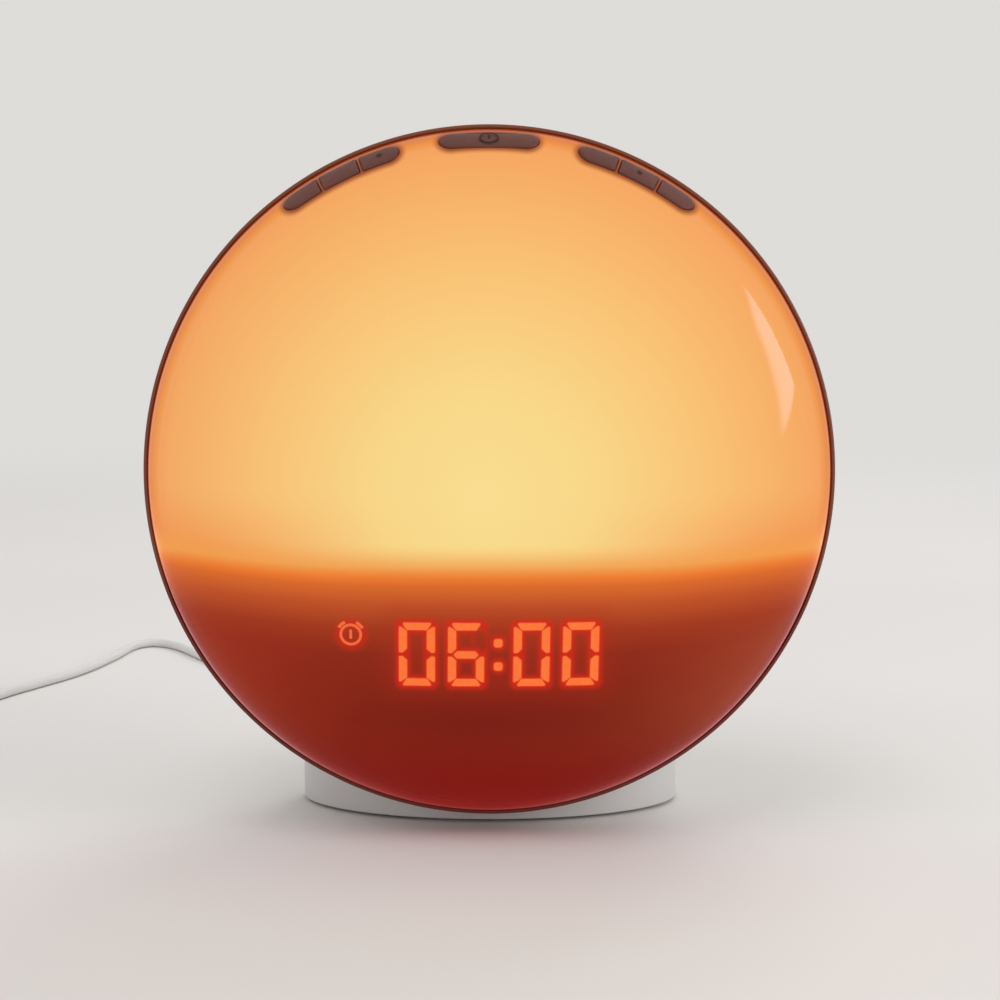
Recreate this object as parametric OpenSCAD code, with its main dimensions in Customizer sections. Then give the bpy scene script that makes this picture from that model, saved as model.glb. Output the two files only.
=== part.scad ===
// Sunrise alarm clock: a round glowing dome with a clock display and seven keys,
// a rear housing with a speaker, an oval base and a power cord. Millimetres.
// The front faces -Y, +X is to the right and +Z is up. The origin lies on the table,
// under the middle of the clock.

/* [Body] */
// Radius of the rear housing's lip
body_r = 85; // [82:0.5:88]
// Height of the lip's lowest point above the table
lift = 4; // [4:0.5:7]
// Depth of the dome in front of the seam
dome_depth = 32; // [30:0.5:36]
// Depth of the rear housing behind the seam
rear_depth = 56; // [54:0.5:62]
// Wall of the dome
dome_wall = 2.2; // [1.8:0.1:2.4]
// Wall of the rear housing
rear_wall = 2.4; // [2:0.1:2.8]
// Width of the lip round the dome
lip_w = 1; // [0.8:0.1:1.4]
// Radius of the flat back
flat_r = 44; // [43:0.5:48]
// Thickness of the inner frame
frame_t = 2; // [1.6:0.1:2.4]

/* [Keys] */
// Place of the key row, in degrees along the dome's curve from its rim
key_row = 14.6; // [14:0.1:15.4]
// Width of a key, across the row
key_w = 6.6; // [5.6:0.1:7]
// Length of the top key
key_top_len = 24; // [18:0.5:26]
// Distance between the keys of a side group
key_pitch = 10.5; // [9.5:0.1:10.8]
// Angle from the top to the middle of a side group
key_side_angle = 26.2; // [25.8:0.1:30]
// Rib of the dome between two keys
key_rib = 0.4; // [0.4:0.1:0.9]
// Gap round a key
key_gap = 0.25; // [0.2:0.05:0.35]
// Height of a key's face above the dome
key_proud = 0.3; // [0.1:0.1:0.5]
// Travel of a key
key_travel = 0.5; // [0.3:0.1:0.6]

/* [Display] */
// Height of a digit
digit_h = 15.3; // [13:0.1:16]
// Width of a digit
digit_w = 8.4; // [7:0.1:8.6]
// Distance between two digits
digit_pitch = 11.5; // [11:0.1:11.8]
// Width of a lit bar
bar_w = 1.8; // [1.4:0.1:2]
// Drop of the digits' middle below the dome's middle
digit_drop = 39.8; // [39:0.1:41]
// Shift of the colon from the dome's middle
colon_x = 2.2; // [1.8:0.1:2.6]
// Drop of the light shelf below the dome's middle
shelf_drop = 21.5; // [21:0.1:23]
// Thickness of the light shelf
shelf_t = 1.5; // [1:0.1:1.6]

/* [Lamp] */
// Distance from the rim of the lamp's reflector to the edge of the inner frame
lamp_edge = 20.3; // [20.3:0.1:30]
// Depth of the reflector
lamp_depth = 12.2; // [10:0.1:14]
// Radius of the lamp's board
lamp_board_r = 28; // [26:0.5:29]

/* [Back] */
// Radius of the speaker's grille
grille_r = 27; // [24:0.5:27.5]
// Distance between the holes of the grille
grille_pitch = 5; // [4.6:0.1:6]
// Radius of a hole of the grille
grille_hole_r = 1.3; // [1:0.05:1.5]
// Shift of the power inlet to the left
jack_x = 18; // [14:0.5:20]
// Drop of the power inlet below the middle
jack_drop = 33; // [31:0.5:34]

/* [Base] */
// Width of the base
base_w = 99.2; // [94:0.2:104]
// Height of the base
base_h = 26; // [22:0.5:30]
// Setback of the base's front edge behind the seam
base_back = 6; // [4:0.5:8]
// Depth of the base's front half
base_front = 28; // [26:0.5:30]
// Wall of the base
base_wall = 2.4; // [2:0.1:2.8]

/* [Cord] */
// Diameter of the cord
cord_d = 3.2; // [2.8:0.1:3.4]
// Radius of the coil's outer turn
coil_r = 27.2; // [26:0.1:29]
// Gap between two turns of the coil
coil_gap = 0.46; // [0.42:0.01:0.6]

/* [Hidden] */
$fn = 96;

far = 120;            // past the whole clock
eps = 0.1;            // how far a cut runs past a face
fit = 0.15;           // clearance of a piece that is fixed in its seat
curve_steps = 30;     // steps along a quarter of an oval

// Body
seam_y = (dome_depth - rear_depth) / 2;
centre_z = lift + body_r;
lip_gap = 0.3;
lip_front = 0.6;
lip_back = 3;
dome_r = body_r - lip_w - lip_gap;
skirt = 2;
ledge_w = 3;
frame_z = -skirt - 1;
frame_r = body_r - rear_wall - 0.3;

// Keys
flange_w = 1;
flange_t = 1;
flange_gap = 0.3;
dome_bow = 0.5;      // how far the dome's inside curves away over a key's flange
key_t = dome_wall + flange_gap + dome_bow + flange_t;
stem_r = 1.5;
stem_end = key_t + 2.4;
plunger_r = 1.1;
plunger_fit = 0.05;
plunger_room = 0.3;
plunger_end = stem_end + 2.5;
case_w = 6;
case_top = stem_end + key_travel + 0.2;
case_end = plunger_end + key_travel + 1;
key_board_t = 1.2;
key_board_w = 8;
key_board_end = case_end + key_board_t;
bracket_l = 20;
key_p = oval_point(dome_r, dome_depth, key_row);
key_n = unit([cos(key_row) / dome_r, sin(key_row) / dome_depth]);
key_f = [-key_n.y, key_n.x];
key_tilt = atan2(key_n.y, key_n.x);
key_speed = norm([dome_r * sin(key_row), dome_depth * cos(key_row)]);
key_span = to_deg(key_w / 2, key_speed);
key_pitch_a = to_deg(key_pitch, key_p.x);
key_top_a = to_deg(key_top_len, key_p.x);
key_side_a = to_deg(key_pitch - key_rib - 2 * key_gap, key_p.x);
key_gap_a = to_deg(key_gap, key_p.x);
key_place_x = key_p.x * sin(key_pitch_a);
key_front = oval_point(dome_r, dome_depth, key_row + key_span);
key_rear = oval_point(dome_r, dome_depth, key_row - key_span);
key_end_r = (key_front - key_rear) * key_f / 2;
key_end_a = to_deg(key_end_r, key_p.x);
key_end_ease = 0.02;  // keeps a round end just inside the key's straight sides
key_end_y = key_p * key_f - (key_front + key_rear) * key_f / 2;
key_end_z = (key_front + key_rear) * key_n / 2 - key_p * key_n;

// Display
display_z = 8;
pcb_t = 1.6;
block_z = display_z + pcb_t;
block_t = 7.9;
block_l = -37;
block_r = 30;
block_h = 20;
pocket_t = 1.4;
bar_proud = 0.2;
bar_fit = 0.05;
film_t = 0.3;
bar_gap = 0.45;
colon_side = 2;
colon_rise = 2.8;
icon_x = -32.2;
icon_rise = 4;
icon_r = 2.55;
digit_left = colon_x - 7.5;
digit_right = colon_x + 7.8;
digit_xs = [digit_left - digit_pitch, digit_left, digit_right, digit_right + digit_pitch];

// Lamp
lamp_gap = 0.75;  // between the reflector's rim and the shelf
lamp_r = (frame_r - lamp_edge + shelf_drop - shelf_t / 2 - lamp_gap) / 2;
lamp_y = lamp_r - shelf_drop + shelf_t / 2 + lamp_gap;
lamp_lip = 3;
lamp_wall = 1.4;
rim_t = 1.2;
led_w = 3;
led_h = 0.9;
led_rings = [[1, 0], [8, 11], [12, 21]];

// Inside the rear housing
main_w = 68;
main_h = 38;
main_y = -27;
main_gap = 5.4;
main_z = frame_z - frame_t - main_gap;
cell_r = 10;
cell_t = 3.2;
cell_edge = 14;
cell_x = main_w / 2 - cell_edge;
cell_y = main_y - main_h / 2;
cell_floor = 1.2;
cell_wall = 1.8;
holder_h = 4.2;
chip_w = 12;
chip_t = 1.6;
chip_side = 10;
chip_top = 6;
driver_w = 8;
driver_h = 5;
driver_t = 2;
driver_side = 28;
driver_top = 10;
can_r = 3;
can_h = 8;
can_side = 8;
can_pitch = 9;
can_bottom = 9;

// Back
grille_t = 1.6;
grille_y = 6;
speaker_edge = 3;
speaker_h = 15.6;
speaker_wall = 1.8;
speaker_rim = 2;
mouth_edge = 2.5;
cone_r = 5.6;
cone_h = 11;
cone_t = 0.9;
magnet_r = 15;
magnet_h = 10;
jack_r = 5.9;
jack_h = 13;
jack_bore_r = 3.1;
jack_bore_h = 10;
jack_pin_r = 0.9;
pillar_at = 41;
pillar_r = 4;
pillar_end = 36;
well_r = 4;
well_floor = 2.4;
screw_r = 1.4;
screw_fit = 0.1;
head_r = 3;
head_h = 2;
screw_l = 14;
slot_l = 3.6;
slot_w = 0.6;
slot_t = 1;
boss_wall = 1.6;

// Base
base_z = 0.8;
foot_r = 4;
foot_t = 1.2;
foot_front_x = 22;
foot_front_in = 8;
foot_rear_x = 28;
foot_rear_out = 10;
base_y = seam_y + base_back + base_front;
base_rear = rear_depth + seam_y - base_y;
plate_t = 1.8;
plate_side = 4.6;
plate_front = 10;
plate_rear = 4;
plate_rim = 2;
stand_screw_x = 20;
stand_screw_y = 25;
stand_boss_r = 4.5;
stand_screw_z = 10;
stand_screw_l = 16;
plate_screw_x = 37;
plate_post_r = 3;
plate_screw_l = 8;
plate_head_h = 1;

// Cord: its plugs and its route, as points chosen by hand
plug_r = 4.6;
plug_l = 18;
barrel_r = 2.75;
barrel_bore_r = 1.1;
barrel_l = 9;
relief_l = 20;
relief_r = 3.2;
floor_z = cord_d / 2;
cord_start = rear_depth + seam_y + plug_l + relief_l;
cord_route = [[-18, 90, 55.6], [-19, 97, 53], [-20.5, 103.5, 48], [-22.5, 108.5, 41.5],
    [-24.5, 112.5, 34.5], [-27, 116.5, 27], [-30, 121, 19.5], [-34, 126.5, 12.5], [-39, 133, 7],
    [-45, 140.5, 3.4], [-51, 148, 1.9], [-57, 155.5, 1.6], [-63, 163, 1.6], [-69, 170.5, 1.6],
    [-75, 178, 1.6], [-81, 185.5, 1.6], [-87, 193, 1.6], [-92.5, 200.5, 1.6], [-98, 208, 1.6],
    [-103, 215.5, 1.6], [-108, 223, 1.6], [-112.5, 231, 1.6], [-117, 239, 1.6],
    [-122, 246.5, 1.6], [-127.5, 251.5, 1.6], [-133, 252.5, 1.6], [-137, 248.5, 1.6],
    [-139, 241.5, 1.6], [-140, 233, 1.6], [-141, 224.5, 1.6], [-142.5, 216, 1.6],
    [-144, 207.5, 1.6], [-146, 199, 1.6], [-148.5, 190.5, 1.6], [-151.5, 182.5, 1.6],
    [-155, 174.5, 1.6], [-158.5, 166.5, 1.6], [-162, 158.5, 1.6]];
coil_x = -194;
coil_y = 150;
coil_turns = 9 + 4 / 9;
coil_start = -20;
coil_steps = 24;
coil_pitch = cord_d + coil_gap;
coil_climb = 0.5;
tail_l = 38;
usb_w = 15;
usb_h = 7.5;
usb_l = 22;
usb_shell_w = 12;
usb_shell_h = 4.5;
usb_shell_l = 12;
usb_wall = 0.4;
cord_sides = 8;
coil_sides = 6;

function unit(v) = v / norm(v);
function to_deg(length, radius) = length / radius * 180 / PI;
function oval_point(a, b, t) = [a * cos(t), b * sin(t)];
function oval_arc(a, b, from, to, steps = curve_steps) =
    [for (i = [0:steps]) oval_point(a, b, from + (to - from) * i / steps)];
function shift(points, by) = [for (p = points) p + by];
function reverse(list) = [for (i = [len(list) - 1:-1:0]) list[i]];
// Outer line of the rear housing, from its lip to the middle of its back
function rear_line(grow) = shift(oval_arc(body_r - flat_r + grow, -(rear_depth - lip_back + grow), 0, 90),
    [flat_r, -lip_back]);
// Half width of the room in the dome at a height y and a depth z
function dome_room(y, z) = dome_depth_at(y, z) > 0 ? sqrt(dome_depth_at(y, z)) : 0;
function dome_depth_at(y, z) = pow(dome_r - dome_wall, 2) * (1 - pow(z / (dome_depth - dome_wall), 2)) - y * y;

// Places things on the clock's axis: X to the right, Y up and Z forward from the seam
module on_axis() {
    translate([0, seam_y, centre_z]) rotate([90, 0, 0]) children();
}

// Turns an outline round the clock's axis, between two angles from the top
module sector(from, to) {
    rotate([0, 0, 90 - to]) rotate_extrude(angle = to - from) children();
}

// Places things on the key row: X along the row, Z out of the dome
module at_keys(angle) {
    rotate([0, 0, -angle]) translate([0, key_p.x, key_p.y]) rotate([key_tilt - 90, 0, 0]) children();
}

module slab(from, to) {
    translate([-far, -far, from]) cube([2 * far, 2 * far, to - from]);
}

// ---- Dome ----

module key_windows() {
    reach = dome_wall + 2;
    for (side = [-1, 1], i = [-1:1])
        key_column(side * key_side_angle + i * key_pitch_a, key_side_a, [i], key_gap, key_gap_a, -reach, reach);
    key_column(0, key_top_a, [-1, 1], key_gap, key_gap_a, -reach, reach);
}

// The room of a key between two heights above the dome, larger by a gap, with its round ends
module key_column(angle, length_a, ends, gap, gap_a, from, to) {
    front = key_front + key_f * gap;
    rear = key_rear - key_f * gap;
    straight_a = length_a / 2 - key_end_a;
    left = is_round(ends, -1) ? straight_a : length_a / 2 + gap_a;
    right = is_round(ends, 1) ? straight_a : length_a / 2 + gap_a;
    sector(angle - left, angle + right)
        polygon([front + key_n * to, front + key_n * from, rear + key_n * from, rear + key_n * to]);
    for (side = ends) if (side != 0)
        at_keys(angle + side * straight_a) translate([0, key_end_y, key_end_z + from])
            cylinder(r = key_end_r + gap - key_end_ease, h = to - from);
}
function is_round(ends, side) = len([for (end = ends) if (end == side) end]) > 0;

module front_diffuser() {
    inner_r = dome_r - dome_wall;
    color("#fbc878") on_axis() difference() {
        rotate_extrude() polygon(concat(
            [[inner_r, -skirt], [dome_r, -skirt]],
            oval_arc(dome_r, dome_depth, 0, 90),
            reverse(oval_arc(inner_r, dome_depth - dome_wall, 0, 90))));
        key_windows();
    }
}

// ---- Keys ----

// One key: a group's angle, its place in the group, its length along the row and its round ends
module key(group, place, length_a, ends) {
    angle = group + place * key_pitch_a;
    foot = -key_t - key_end_z;
    color("#8a7a78") on_axis() {
        intersection() {
            key_column(angle, length_a, ends, 0, 0, foot + flange_t / 2, key_proud + 1);
            rotate_extrude() polygon(concat([[0, 0]],
                oval_arc(dome_r + key_proud, dome_depth + key_proud, 0, 90)));
        }
        key_column(angle, length_a, ends, flange_w, 0, foot, foot + flange_t);
        at_keys(group) translate([place * key_place_x, 0, -stem_end])
            cylinder(r = stem_r, h = stem_end - key_t + 0.8);
    }
}

module plunger(group, place) {
    color("#2c2c2c") on_axis() at_keys(group) translate([place * key_place_x, 0, -plunger_end])
        cylinder(r = plunger_r, h = plunger_end - stem_end);
}

module switch_cases(group, places) {
    color("#3a3a3a") on_axis() at_keys(group) for (place = places)
        translate([place * key_place_x, 0, -case_end]) difference() {
            translate([-case_w / 2, -case_w / 2, 0]) cube([case_w, case_w, case_end - case_top]);
            translate([0, 0, case_end - plunger_end - key_travel - plunger_room])
                cylinder(r = plunger_r + plunger_fit, h = case_end);
        }
}

module key_board(group, length) {
    color("#2f6b3c") on_axis() at_keys(group)
        translate([-length / 2, -key_board_w / 2, -key_board_end]) cube([length, key_board_w, key_board_t]);
}

module key_top() key(0, 0, key_top_a, [-1, 1]);
module key_left_1() key(-key_side_angle, 1, key_side_a, [1]);
module key_left_2() key(-key_side_angle, 0, key_side_a, [0]);
module key_left_3() key(-key_side_angle, -1, key_side_a, [-1]);
module key_right_1() key(key_side_angle, -1, key_side_a, [-1]);
module key_right_2() key(key_side_angle, 0, key_side_a, [0]);
module key_right_3() key(key_side_angle, 1, key_side_a, [1]);
module plunger_top() plunger(0, 0);
module plunger_left_1() plunger(-key_side_angle, 1);
module plunger_left_2() plunger(-key_side_angle, 0);
module plunger_left_3() plunger(-key_side_angle, -1);
module plunger_right_1() plunger(key_side_angle, -1);
module plunger_right_2() plunger(key_side_angle, 0);
module plunger_right_3() plunger(key_side_angle, 1);
module switch_cases_top() switch_cases(0, [0]);
module switch_cases_left() switch_cases(-key_side_angle, [-1, 0, 1]);
module switch_cases_right() switch_cases(key_side_angle, [-1, 0, 1]);
module key_board_top() key_board(0, key_top_len);
module key_board_left() key_board(-key_side_angle, 3 * key_pitch);
module key_board_right() key_board(key_side_angle, 3 * key_pitch);

// ---- Inner frame ----

module pillar_places() {
    for (x = [-1, 1], y = [-1, 1]) translate([x * pillar_at, y * pillar_at, 0]) children();
}

module display_posts() {
    for (x = [block_l + 3, block_r - 3], y = [-1, 1])
        translate([x, -digit_drop + y * (block_h / 2 - 2), 0]) children();
}

module main_posts() {
    for (x = [-1, 1], y = [-3, 3 - main_h]) translate([x * (main_w / 2 - 3), main_y + y, 0]) children();
}

module key_bracket(group) {
    half = key_pitch * 0.8;
    intersection() {
        at_keys(group) translate([-half, -key_board_w / 2 + 1, -key_board_end - bracket_l])
            cube([2 * half, key_board_w - 2, bracket_l]);
        slab(frame_z - eps, far);
    }
}

module mid_frame() {
    color("#d9d9d4") on_axis() difference() {
        union() {
            translate([0, 0, frame_z - frame_t]) cylinder(r = frame_r, h = frame_t);
            pillar_places() translate([0, 0, -pillar_end]) cylinder(r = pillar_r, h = pillar_end + frame_z);
            display_posts() translate([0, 0, frame_z - eps]) cylinder(r = 2, h = display_z - frame_z + eps);
            main_posts() translate([0, 0, main_z]) cylinder(r = 2, h = main_gap + eps);
            for (group = [-key_side_angle, 0, key_side_angle]) key_bracket(group);
        }
        translate([0, lamp_y, -far]) cylinder(r = lamp_r - lamp_lip, h = 2 * far);
        translate([0, lamp_y, frame_z]) cylinder(r = lamp_r + fit, h = far);
        pillar_places() translate([0, 0, -pillar_end - eps]) cylinder(r = screw_r + screw_fit, h = screw_l);
    }
}

// The shelf that keeps the lamp's light off the display
module light_baffle() {
    clear = 0.6;
    top_z = dome_depth - dome_wall - 2;
    zs = [for (i = [0:curve_steps]) frame_z + (shelf_reach() - clear - frame_z) * i / curve_steps];
    edge = [for (z = zs) [dome_room(shelf_drop + shelf_t / 2, max(z, 0)) - clear - 0.4, z]];
    color("#e6e2da") on_axis() translate([0, -shelf_drop + shelf_t / 2, 0]) rotate([90, 0, 0])
        linear_extrude(shelf_t) polygon(concat(edge, reverse([for (p = edge) [-p.x, p.y]])));
}
// How far forward the dome's room reaches at the shelf
function shelf_reach() = (dome_depth - dome_wall)
    * sqrt(1 - pow((shelf_drop + shelf_t / 2) / (dome_r - dome_wall), 2)) - 0.4;

// ---- Lamp ----

module lamp_reflector() {
    floor_r = lamp_board_r + 1;
    back = frame_z - lamp_depth + rim_t;
    hole_r = lamp_r - lamp_lip;
    color("white") on_axis() translate([0, lamp_y, 0]) rotate_extrude() polygon([
        [0, back], [floor_r + lamp_wall, back], [hole_r - 0.4, frame_z - frame_t],
        [hole_r - 0.4, frame_z], [lamp_r, frame_z], [lamp_r, frame_z + rim_t],
        [hole_r - 1.8, frame_z + rim_t], [floor_r, back + lamp_wall], [0, back + lamp_wall]]);
}

module lamp_board() {
    color("#f2f2ee") on_axis() translate([0, lamp_y, lamp_floor_z()]) cylinder(r = lamp_board_r, h = pcb_t);
}

module lamp_leds() {
    color("#ffd9a0") on_axis() translate([0, lamp_y, lamp_floor_z() + pcb_t])
        for (ring = led_rings, i = [0:ring[0] - 1]) rotate([0, 0, 360 / ring[0] * i])
            translate([ring[1] - led_w / 2, -led_w / 2, 0]) cube([led_w, led_w, led_h]);
}
function lamp_floor_z() = frame_z - lamp_depth + rim_t + lamp_wall;

// ---- Display ----

// A bar of a digit, along X, with pointed ends
module bar(length, grow) {
    half = length / 2 + grow;
    side = bar_w / 2 + grow;
    polygon([[-half, 0], [side - half, side], [half - side, side], [half, 0], [half - side, -side],
        [side - half, -side]]);
}

// The seven bars of one digit, round its middle
module digit(grow) {
    x = (digit_w - bar_w) / 2;
    y = (digit_h - bar_w) / 2;
    for (row = [-1:1]) translate([0, row * y]) bar(2 * x - bar_gap, grow);
    for (side = [-1, 1], row = [-1, 1]) translate([side * x, row * y / 2]) rotate(90) bar(y - bar_gap, grow);
}

module lit_bars(grow) {
    translate([0, -digit_drop]) {
        for (x = digit_xs) translate([x, 0]) digit(grow);
        for (side = [-1, 1]) translate([colon_x, side * colon_rise])
            square(colon_side + 2 * grow, center = true);
    }
}

module display_board() {
    color("#2f6b3c") on_axis() translate([block_l, -digit_drop - block_h / 2, display_z])
        cube([block_r - block_l, block_h, pcb_t]);
}

module display_block() {
    color("#1d1b1b") on_axis() difference() {
        translate([block_l, -digit_drop - block_h / 2, block_z]) cube([block_r - block_l, block_h, block_t]);
        translate([0, 0, block_z + pocket_t]) linear_extrude(block_t) lit_bars(bar_fit);
        translate([icon_x, icon_rise - digit_drop, block_z + pocket_t])
            cylinder(r = icon_r + bar_fit, h = block_t);
    }
}

module display_segments() {
    color("#ff6a2e") on_axis() translate([0, 0, block_z + pocket_t])
        linear_extrude(block_t - pocket_t + bar_proud) lit_bars(0);
}

module alarm_light() {
    color("#ee622f") on_axis() translate([icon_x, icon_rise - digit_drop, block_z + pocket_t])
        cylinder(r = icon_r, h = block_t - pocket_t + bar_proud);
}

module display_film() {
    color("#5c1a12") on_axis() translate([block_l, -digit_drop - block_h / 2, block_z + block_t + bar_proud])
        cube([block_r - block_l, block_h, film_t]);
}

// ---- Main board ----

module main_board() {
    color("#2f6b3c") on_axis() translate([-main_w / 2, main_y - main_h, main_z - pcb_t])
        cube([main_w, main_h, pcb_t]);
}

module board_parts() {
    color("#202224") on_axis() translate([-main_w / 2, main_y, main_z - pcb_t]) {
        translate([chip_side, -chip_top - chip_w, -chip_t]) cube([chip_w, chip_w, chip_t]);
        translate([driver_side, -driver_top - driver_h, -driver_t]) cube([driver_w, driver_h, driver_t]);
        for (i = [0:2]) translate([can_side + i * can_pitch, can_bottom - main_h, -can_h])
            cylinder(r = can_r, h = can_h);
    }
}

module coin_cell_holder() {
    color("#c9c4b4") on_axis() translate([cell_x, cell_y, main_z - pcb_t]) rotate_extrude() polygon([
        [0, 0], [0, -cell_floor], [cell_r + fit, -cell_floor], [cell_r + fit, -holder_h],
        [cell_r + cell_wall, -holder_h], [cell_r + cell_wall, 0]]);
}

module coin_cell() {
    color("#c8cacc") on_axis() translate([cell_x, cell_y, main_z - pcb_t - cell_floor - cell_t])
        cylinder(r = cell_r, h = cell_t);
}

// ---- Rear housing and speaker ----

// The solid outline of the rear housing, larger by a gap
module housing_solid(grow) {
    on_axis() rotate_extrude() polygon(concat([[0, lip_front + grow], [body_r + grow, lip_front + grow]],
        rear_line(grow), [[0, -rear_depth - grow]]));
}

module housing_shell() {
    inner = rear_line(-rear_wall);
    lip_r = body_r - lip_w;
    on_axis() rotate_extrude() polygon(concat([[lip_r, lip_front], [body_r, lip_front]], rear_line(0),
        [[0, -rear_depth], [0, rear_wall - rear_depth]], reverse(inner),
        [[body_r - rear_wall, -skirt], [lip_r, -skirt]]));
}

module housing_bosses() {
    seat = frame_z - frame_t;
    on_axis() {
        rotate_extrude() polygon([[frame_r - ledge_w, seat - 3], [frame_r + 1, seat - 3],
            [frame_r + 1, seat], [frame_r - ledge_w, seat]]);
        pillar_places() translate([0, 0, -rear_depth]) cylinder(r = well_r + boss_wall, h = rear_depth - pillar_end);
    }
    for (side = [-1, 1]) translate([side * stand_screw_x, stand_screw_y, 0])
        cylinder(r = pillar_r, h = stand_screw_z + stand_screw_l + 4);
}

module rear_housing() {
    color("#e8e6e3") difference() {
        union() {
            housing_shell();
            intersection() {
                housing_bosses();
                housing_solid(-eps);
            }
        }
        on_axis() {
            pillar_places() {
                translate([0, 0, -far]) cylinder(r = well_r, h = far - pillar_end - well_floor);
                translate([0, 0, -far]) cylinder(r = screw_r + screw_fit, h = far);
            }
            translate([0, grille_y, -rear_depth - eps]) {
                cylinder(r = grille_r + fit, h = grille_t + eps);
                cylinder(r = grille_r - speaker_edge, h = rear_wall + 2 * eps);
            }
            translate([-jack_x, -jack_drop, -rear_depth - eps]) cylinder(r = jack_r + fit, h = rear_wall + 2 * eps);
        }
        for (side = [-1, 1]) translate([side * stand_screw_x, stand_screw_y, 0])
            cylinder(r = screw_r + screw_fit, h = stand_screw_z + stand_screw_l + 2);
    }
}

module speaker_grille() {
    reach = grille_r - speaker_edge - grille_hole_r - 0.4;
    rows = floor(reach / (grille_pitch * sin(60)));
    color("#dcdad7") on_axis() translate([0, grille_y, -rear_depth]) difference() {
        cylinder(r = grille_r, h = grille_t);
        for (row = [-rows:rows], i = [-rows:rows]) {
            x = (i + abs(row) % 2 / 2) * grille_pitch;
            y = row * grille_pitch * sin(60);
            if (norm([x, y]) <= reach)
                translate([x, y, -eps]) cylinder(r = grille_hole_r, h = grille_t + 2 * eps, $fn = 24);
        }
    }
}

module at_speaker() {
    on_axis() translate([0, grille_y, rear_wall - rear_depth]) children();
}

module speaker_frame() {
    rim = grille_r;
    mouth = rim - speaker_edge - mouth_edge;
    throat = cone_r + 0.4;
    color("#4a4a4c") at_speaker() rotate_extrude() polygon([[mouth, 0], [rim, 0], [rim, speaker_rim],
        [mouth + mouth_edge, speaker_rim], [magnet_r + 0.5, speaker_h], [throat, speaker_h],
        [throat, speaker_h - speaker_wall], [magnet_r - 1, speaker_h - speaker_wall], [mouth, speaker_rim]]);
}

module speaker_cone() {
    mouth = grille_r - speaker_edge - mouth_edge;
    inner = mouth - 2.5 * cone_t;
    color("#26262a") at_speaker() rotate_extrude() polygon([[mouth, 0], [mouth, cone_t], [inner, cone_t],
        [cone_r, cone_h], [0, cone_h], [0, cone_h - cone_t], [cone_r - cone_t / 2, cone_h - cone_t],
        [inner - 0.7 * cone_t, 0]]);
}

module speaker_magnet() {
    color("#6d6f73") at_speaker() translate([0, 0, speaker_h]) cylinder(r = magnet_r, h = magnet_h);
}

module at_jack() {
    on_axis() translate([-jack_x, -jack_drop, -rear_depth]) children();
}

module dc_jack() {
    color("#222222") at_jack() {
        difference() {
            cylinder(r = jack_r, h = jack_h);
            translate([0, 0, -eps]) cylinder(r = jack_bore_r, h = jack_bore_h + eps);
        }
        translate([0, 0, 1]) cylinder(r = jack_pin_r, h = jack_bore_h - 1 + eps);
    }
}

module housing_screws() {
    color("#b9bbbe") on_axis() pillar_places() translate([0, 0, -pillar_end - well_floor]) {
        translate([0, 0, -head_h]) difference() {
            cylinder(r = head_r, h = head_h);
            for (turn = [0, 90]) rotate(turn) translate([-slot_l / 2, -slot_w / 2, -eps])
                cube([slot_l, slot_w, slot_t]);
        }
        cylinder(r = screw_r, h = screw_l);
    }
}

// ---- Base ----

// An oval round the base's middle, with unlike front and rear halves
module oval(half_w, front, rear) {
    steps = curve_steps;
    translate([0, base_y]) polygon(concat(
        [for (i = [0:2 * steps - 1]) oval_point(half_w, rear, 90 * i / steps)],
        [for (i = [0:2 * steps - 1]) oval_point(half_w, front, 180 + 90 * i / steps)]));
}

module plate_oval(inset) {
    oval(base_w / 2 - plate_side - inset, base_front - plate_front - inset, base_rear - plate_rear - inset);
}

module foot_places() {
    front_y = base_y - base_front + foot_front_in;
    rear_y = base_y + foot_rear_out;
    for (side = [-1, 1]) {
        translate([side * foot_front_x, front_y, 0]) children();
        translate([side * foot_rear_x, rear_y, 0]) children();
    }
}

module plate_screw_places() {
    for (side = [-1, 1]) translate([side * plate_screw_x, base_y, 0]) children();
    translate([0, base_y + base_rear - plate_rear - 5, 0]) children();
}

module base_room() {
    difference() {
        translate([0, 0, base_z + plate_t]) linear_extrude(base_h - base_wall - base_z - plate_t)
            plate_oval(plate_rim);
        housing_solid(fit + base_wall);
        plate_screw_places() cylinder(r = plate_post_r, h = base_h);
        for (side = [-1, 1]) translate([side * stand_screw_x, stand_screw_y, stand_screw_z])
            cylinder(r = stand_boss_r, h = base_h);
    }
}

module base_stand() {
    color("#ecebe8") difference() {
        translate([0, 0, base_z]) linear_extrude(base_h - base_z) oval(base_w / 2, base_front, base_rear);
        housing_solid(fit);
        base_room();
        translate([0, 0, base_z - eps]) linear_extrude(plate_t + eps) plate_oval(-fit);
        plate_screw_places() translate([0, 0, base_z]) cylinder(r = 1.2, h = plate_screw_l + 1);
        for (side = [-1, 1]) translate([side * stand_screw_x, stand_screw_y, 0])
            cylinder(r = screw_r + screw_fit, h = base_h);
        foot_places() cylinder(r = foot_r + fit, h = foot_t);
    }
}

module base_plate() {
    color("#d2d0cd") difference() {
        translate([0, 0, base_z]) linear_extrude(plate_t) plate_oval(0);
        plate_screw_places() {
            cylinder(r = 1.2, h = base_h);
            cylinder(r = 2.4, h = base_z + plate_head_h + eps);
        }
        foot_places() cylinder(r = foot_r + fit, h = foot_t);
    }
}

module stand_screws() {
    color("#b9bbbe") for (side = [-1, 1]) translate([side * stand_screw_x, stand_screw_y, stand_screw_z]) {
        translate([0, 0, -head_h]) cylinder(r = head_r, h = head_h);
        cylinder(r = screw_r, h = stand_screw_l);
    }
}

module base_screws() {
    color("#b9bbbe") plate_screw_places() translate([0, 0, base_z + eps]) {
        cylinder(r = 2.3, h = plate_head_h);
        cylinder(r = 1.1, h = plate_screw_l);
    }
}

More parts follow.
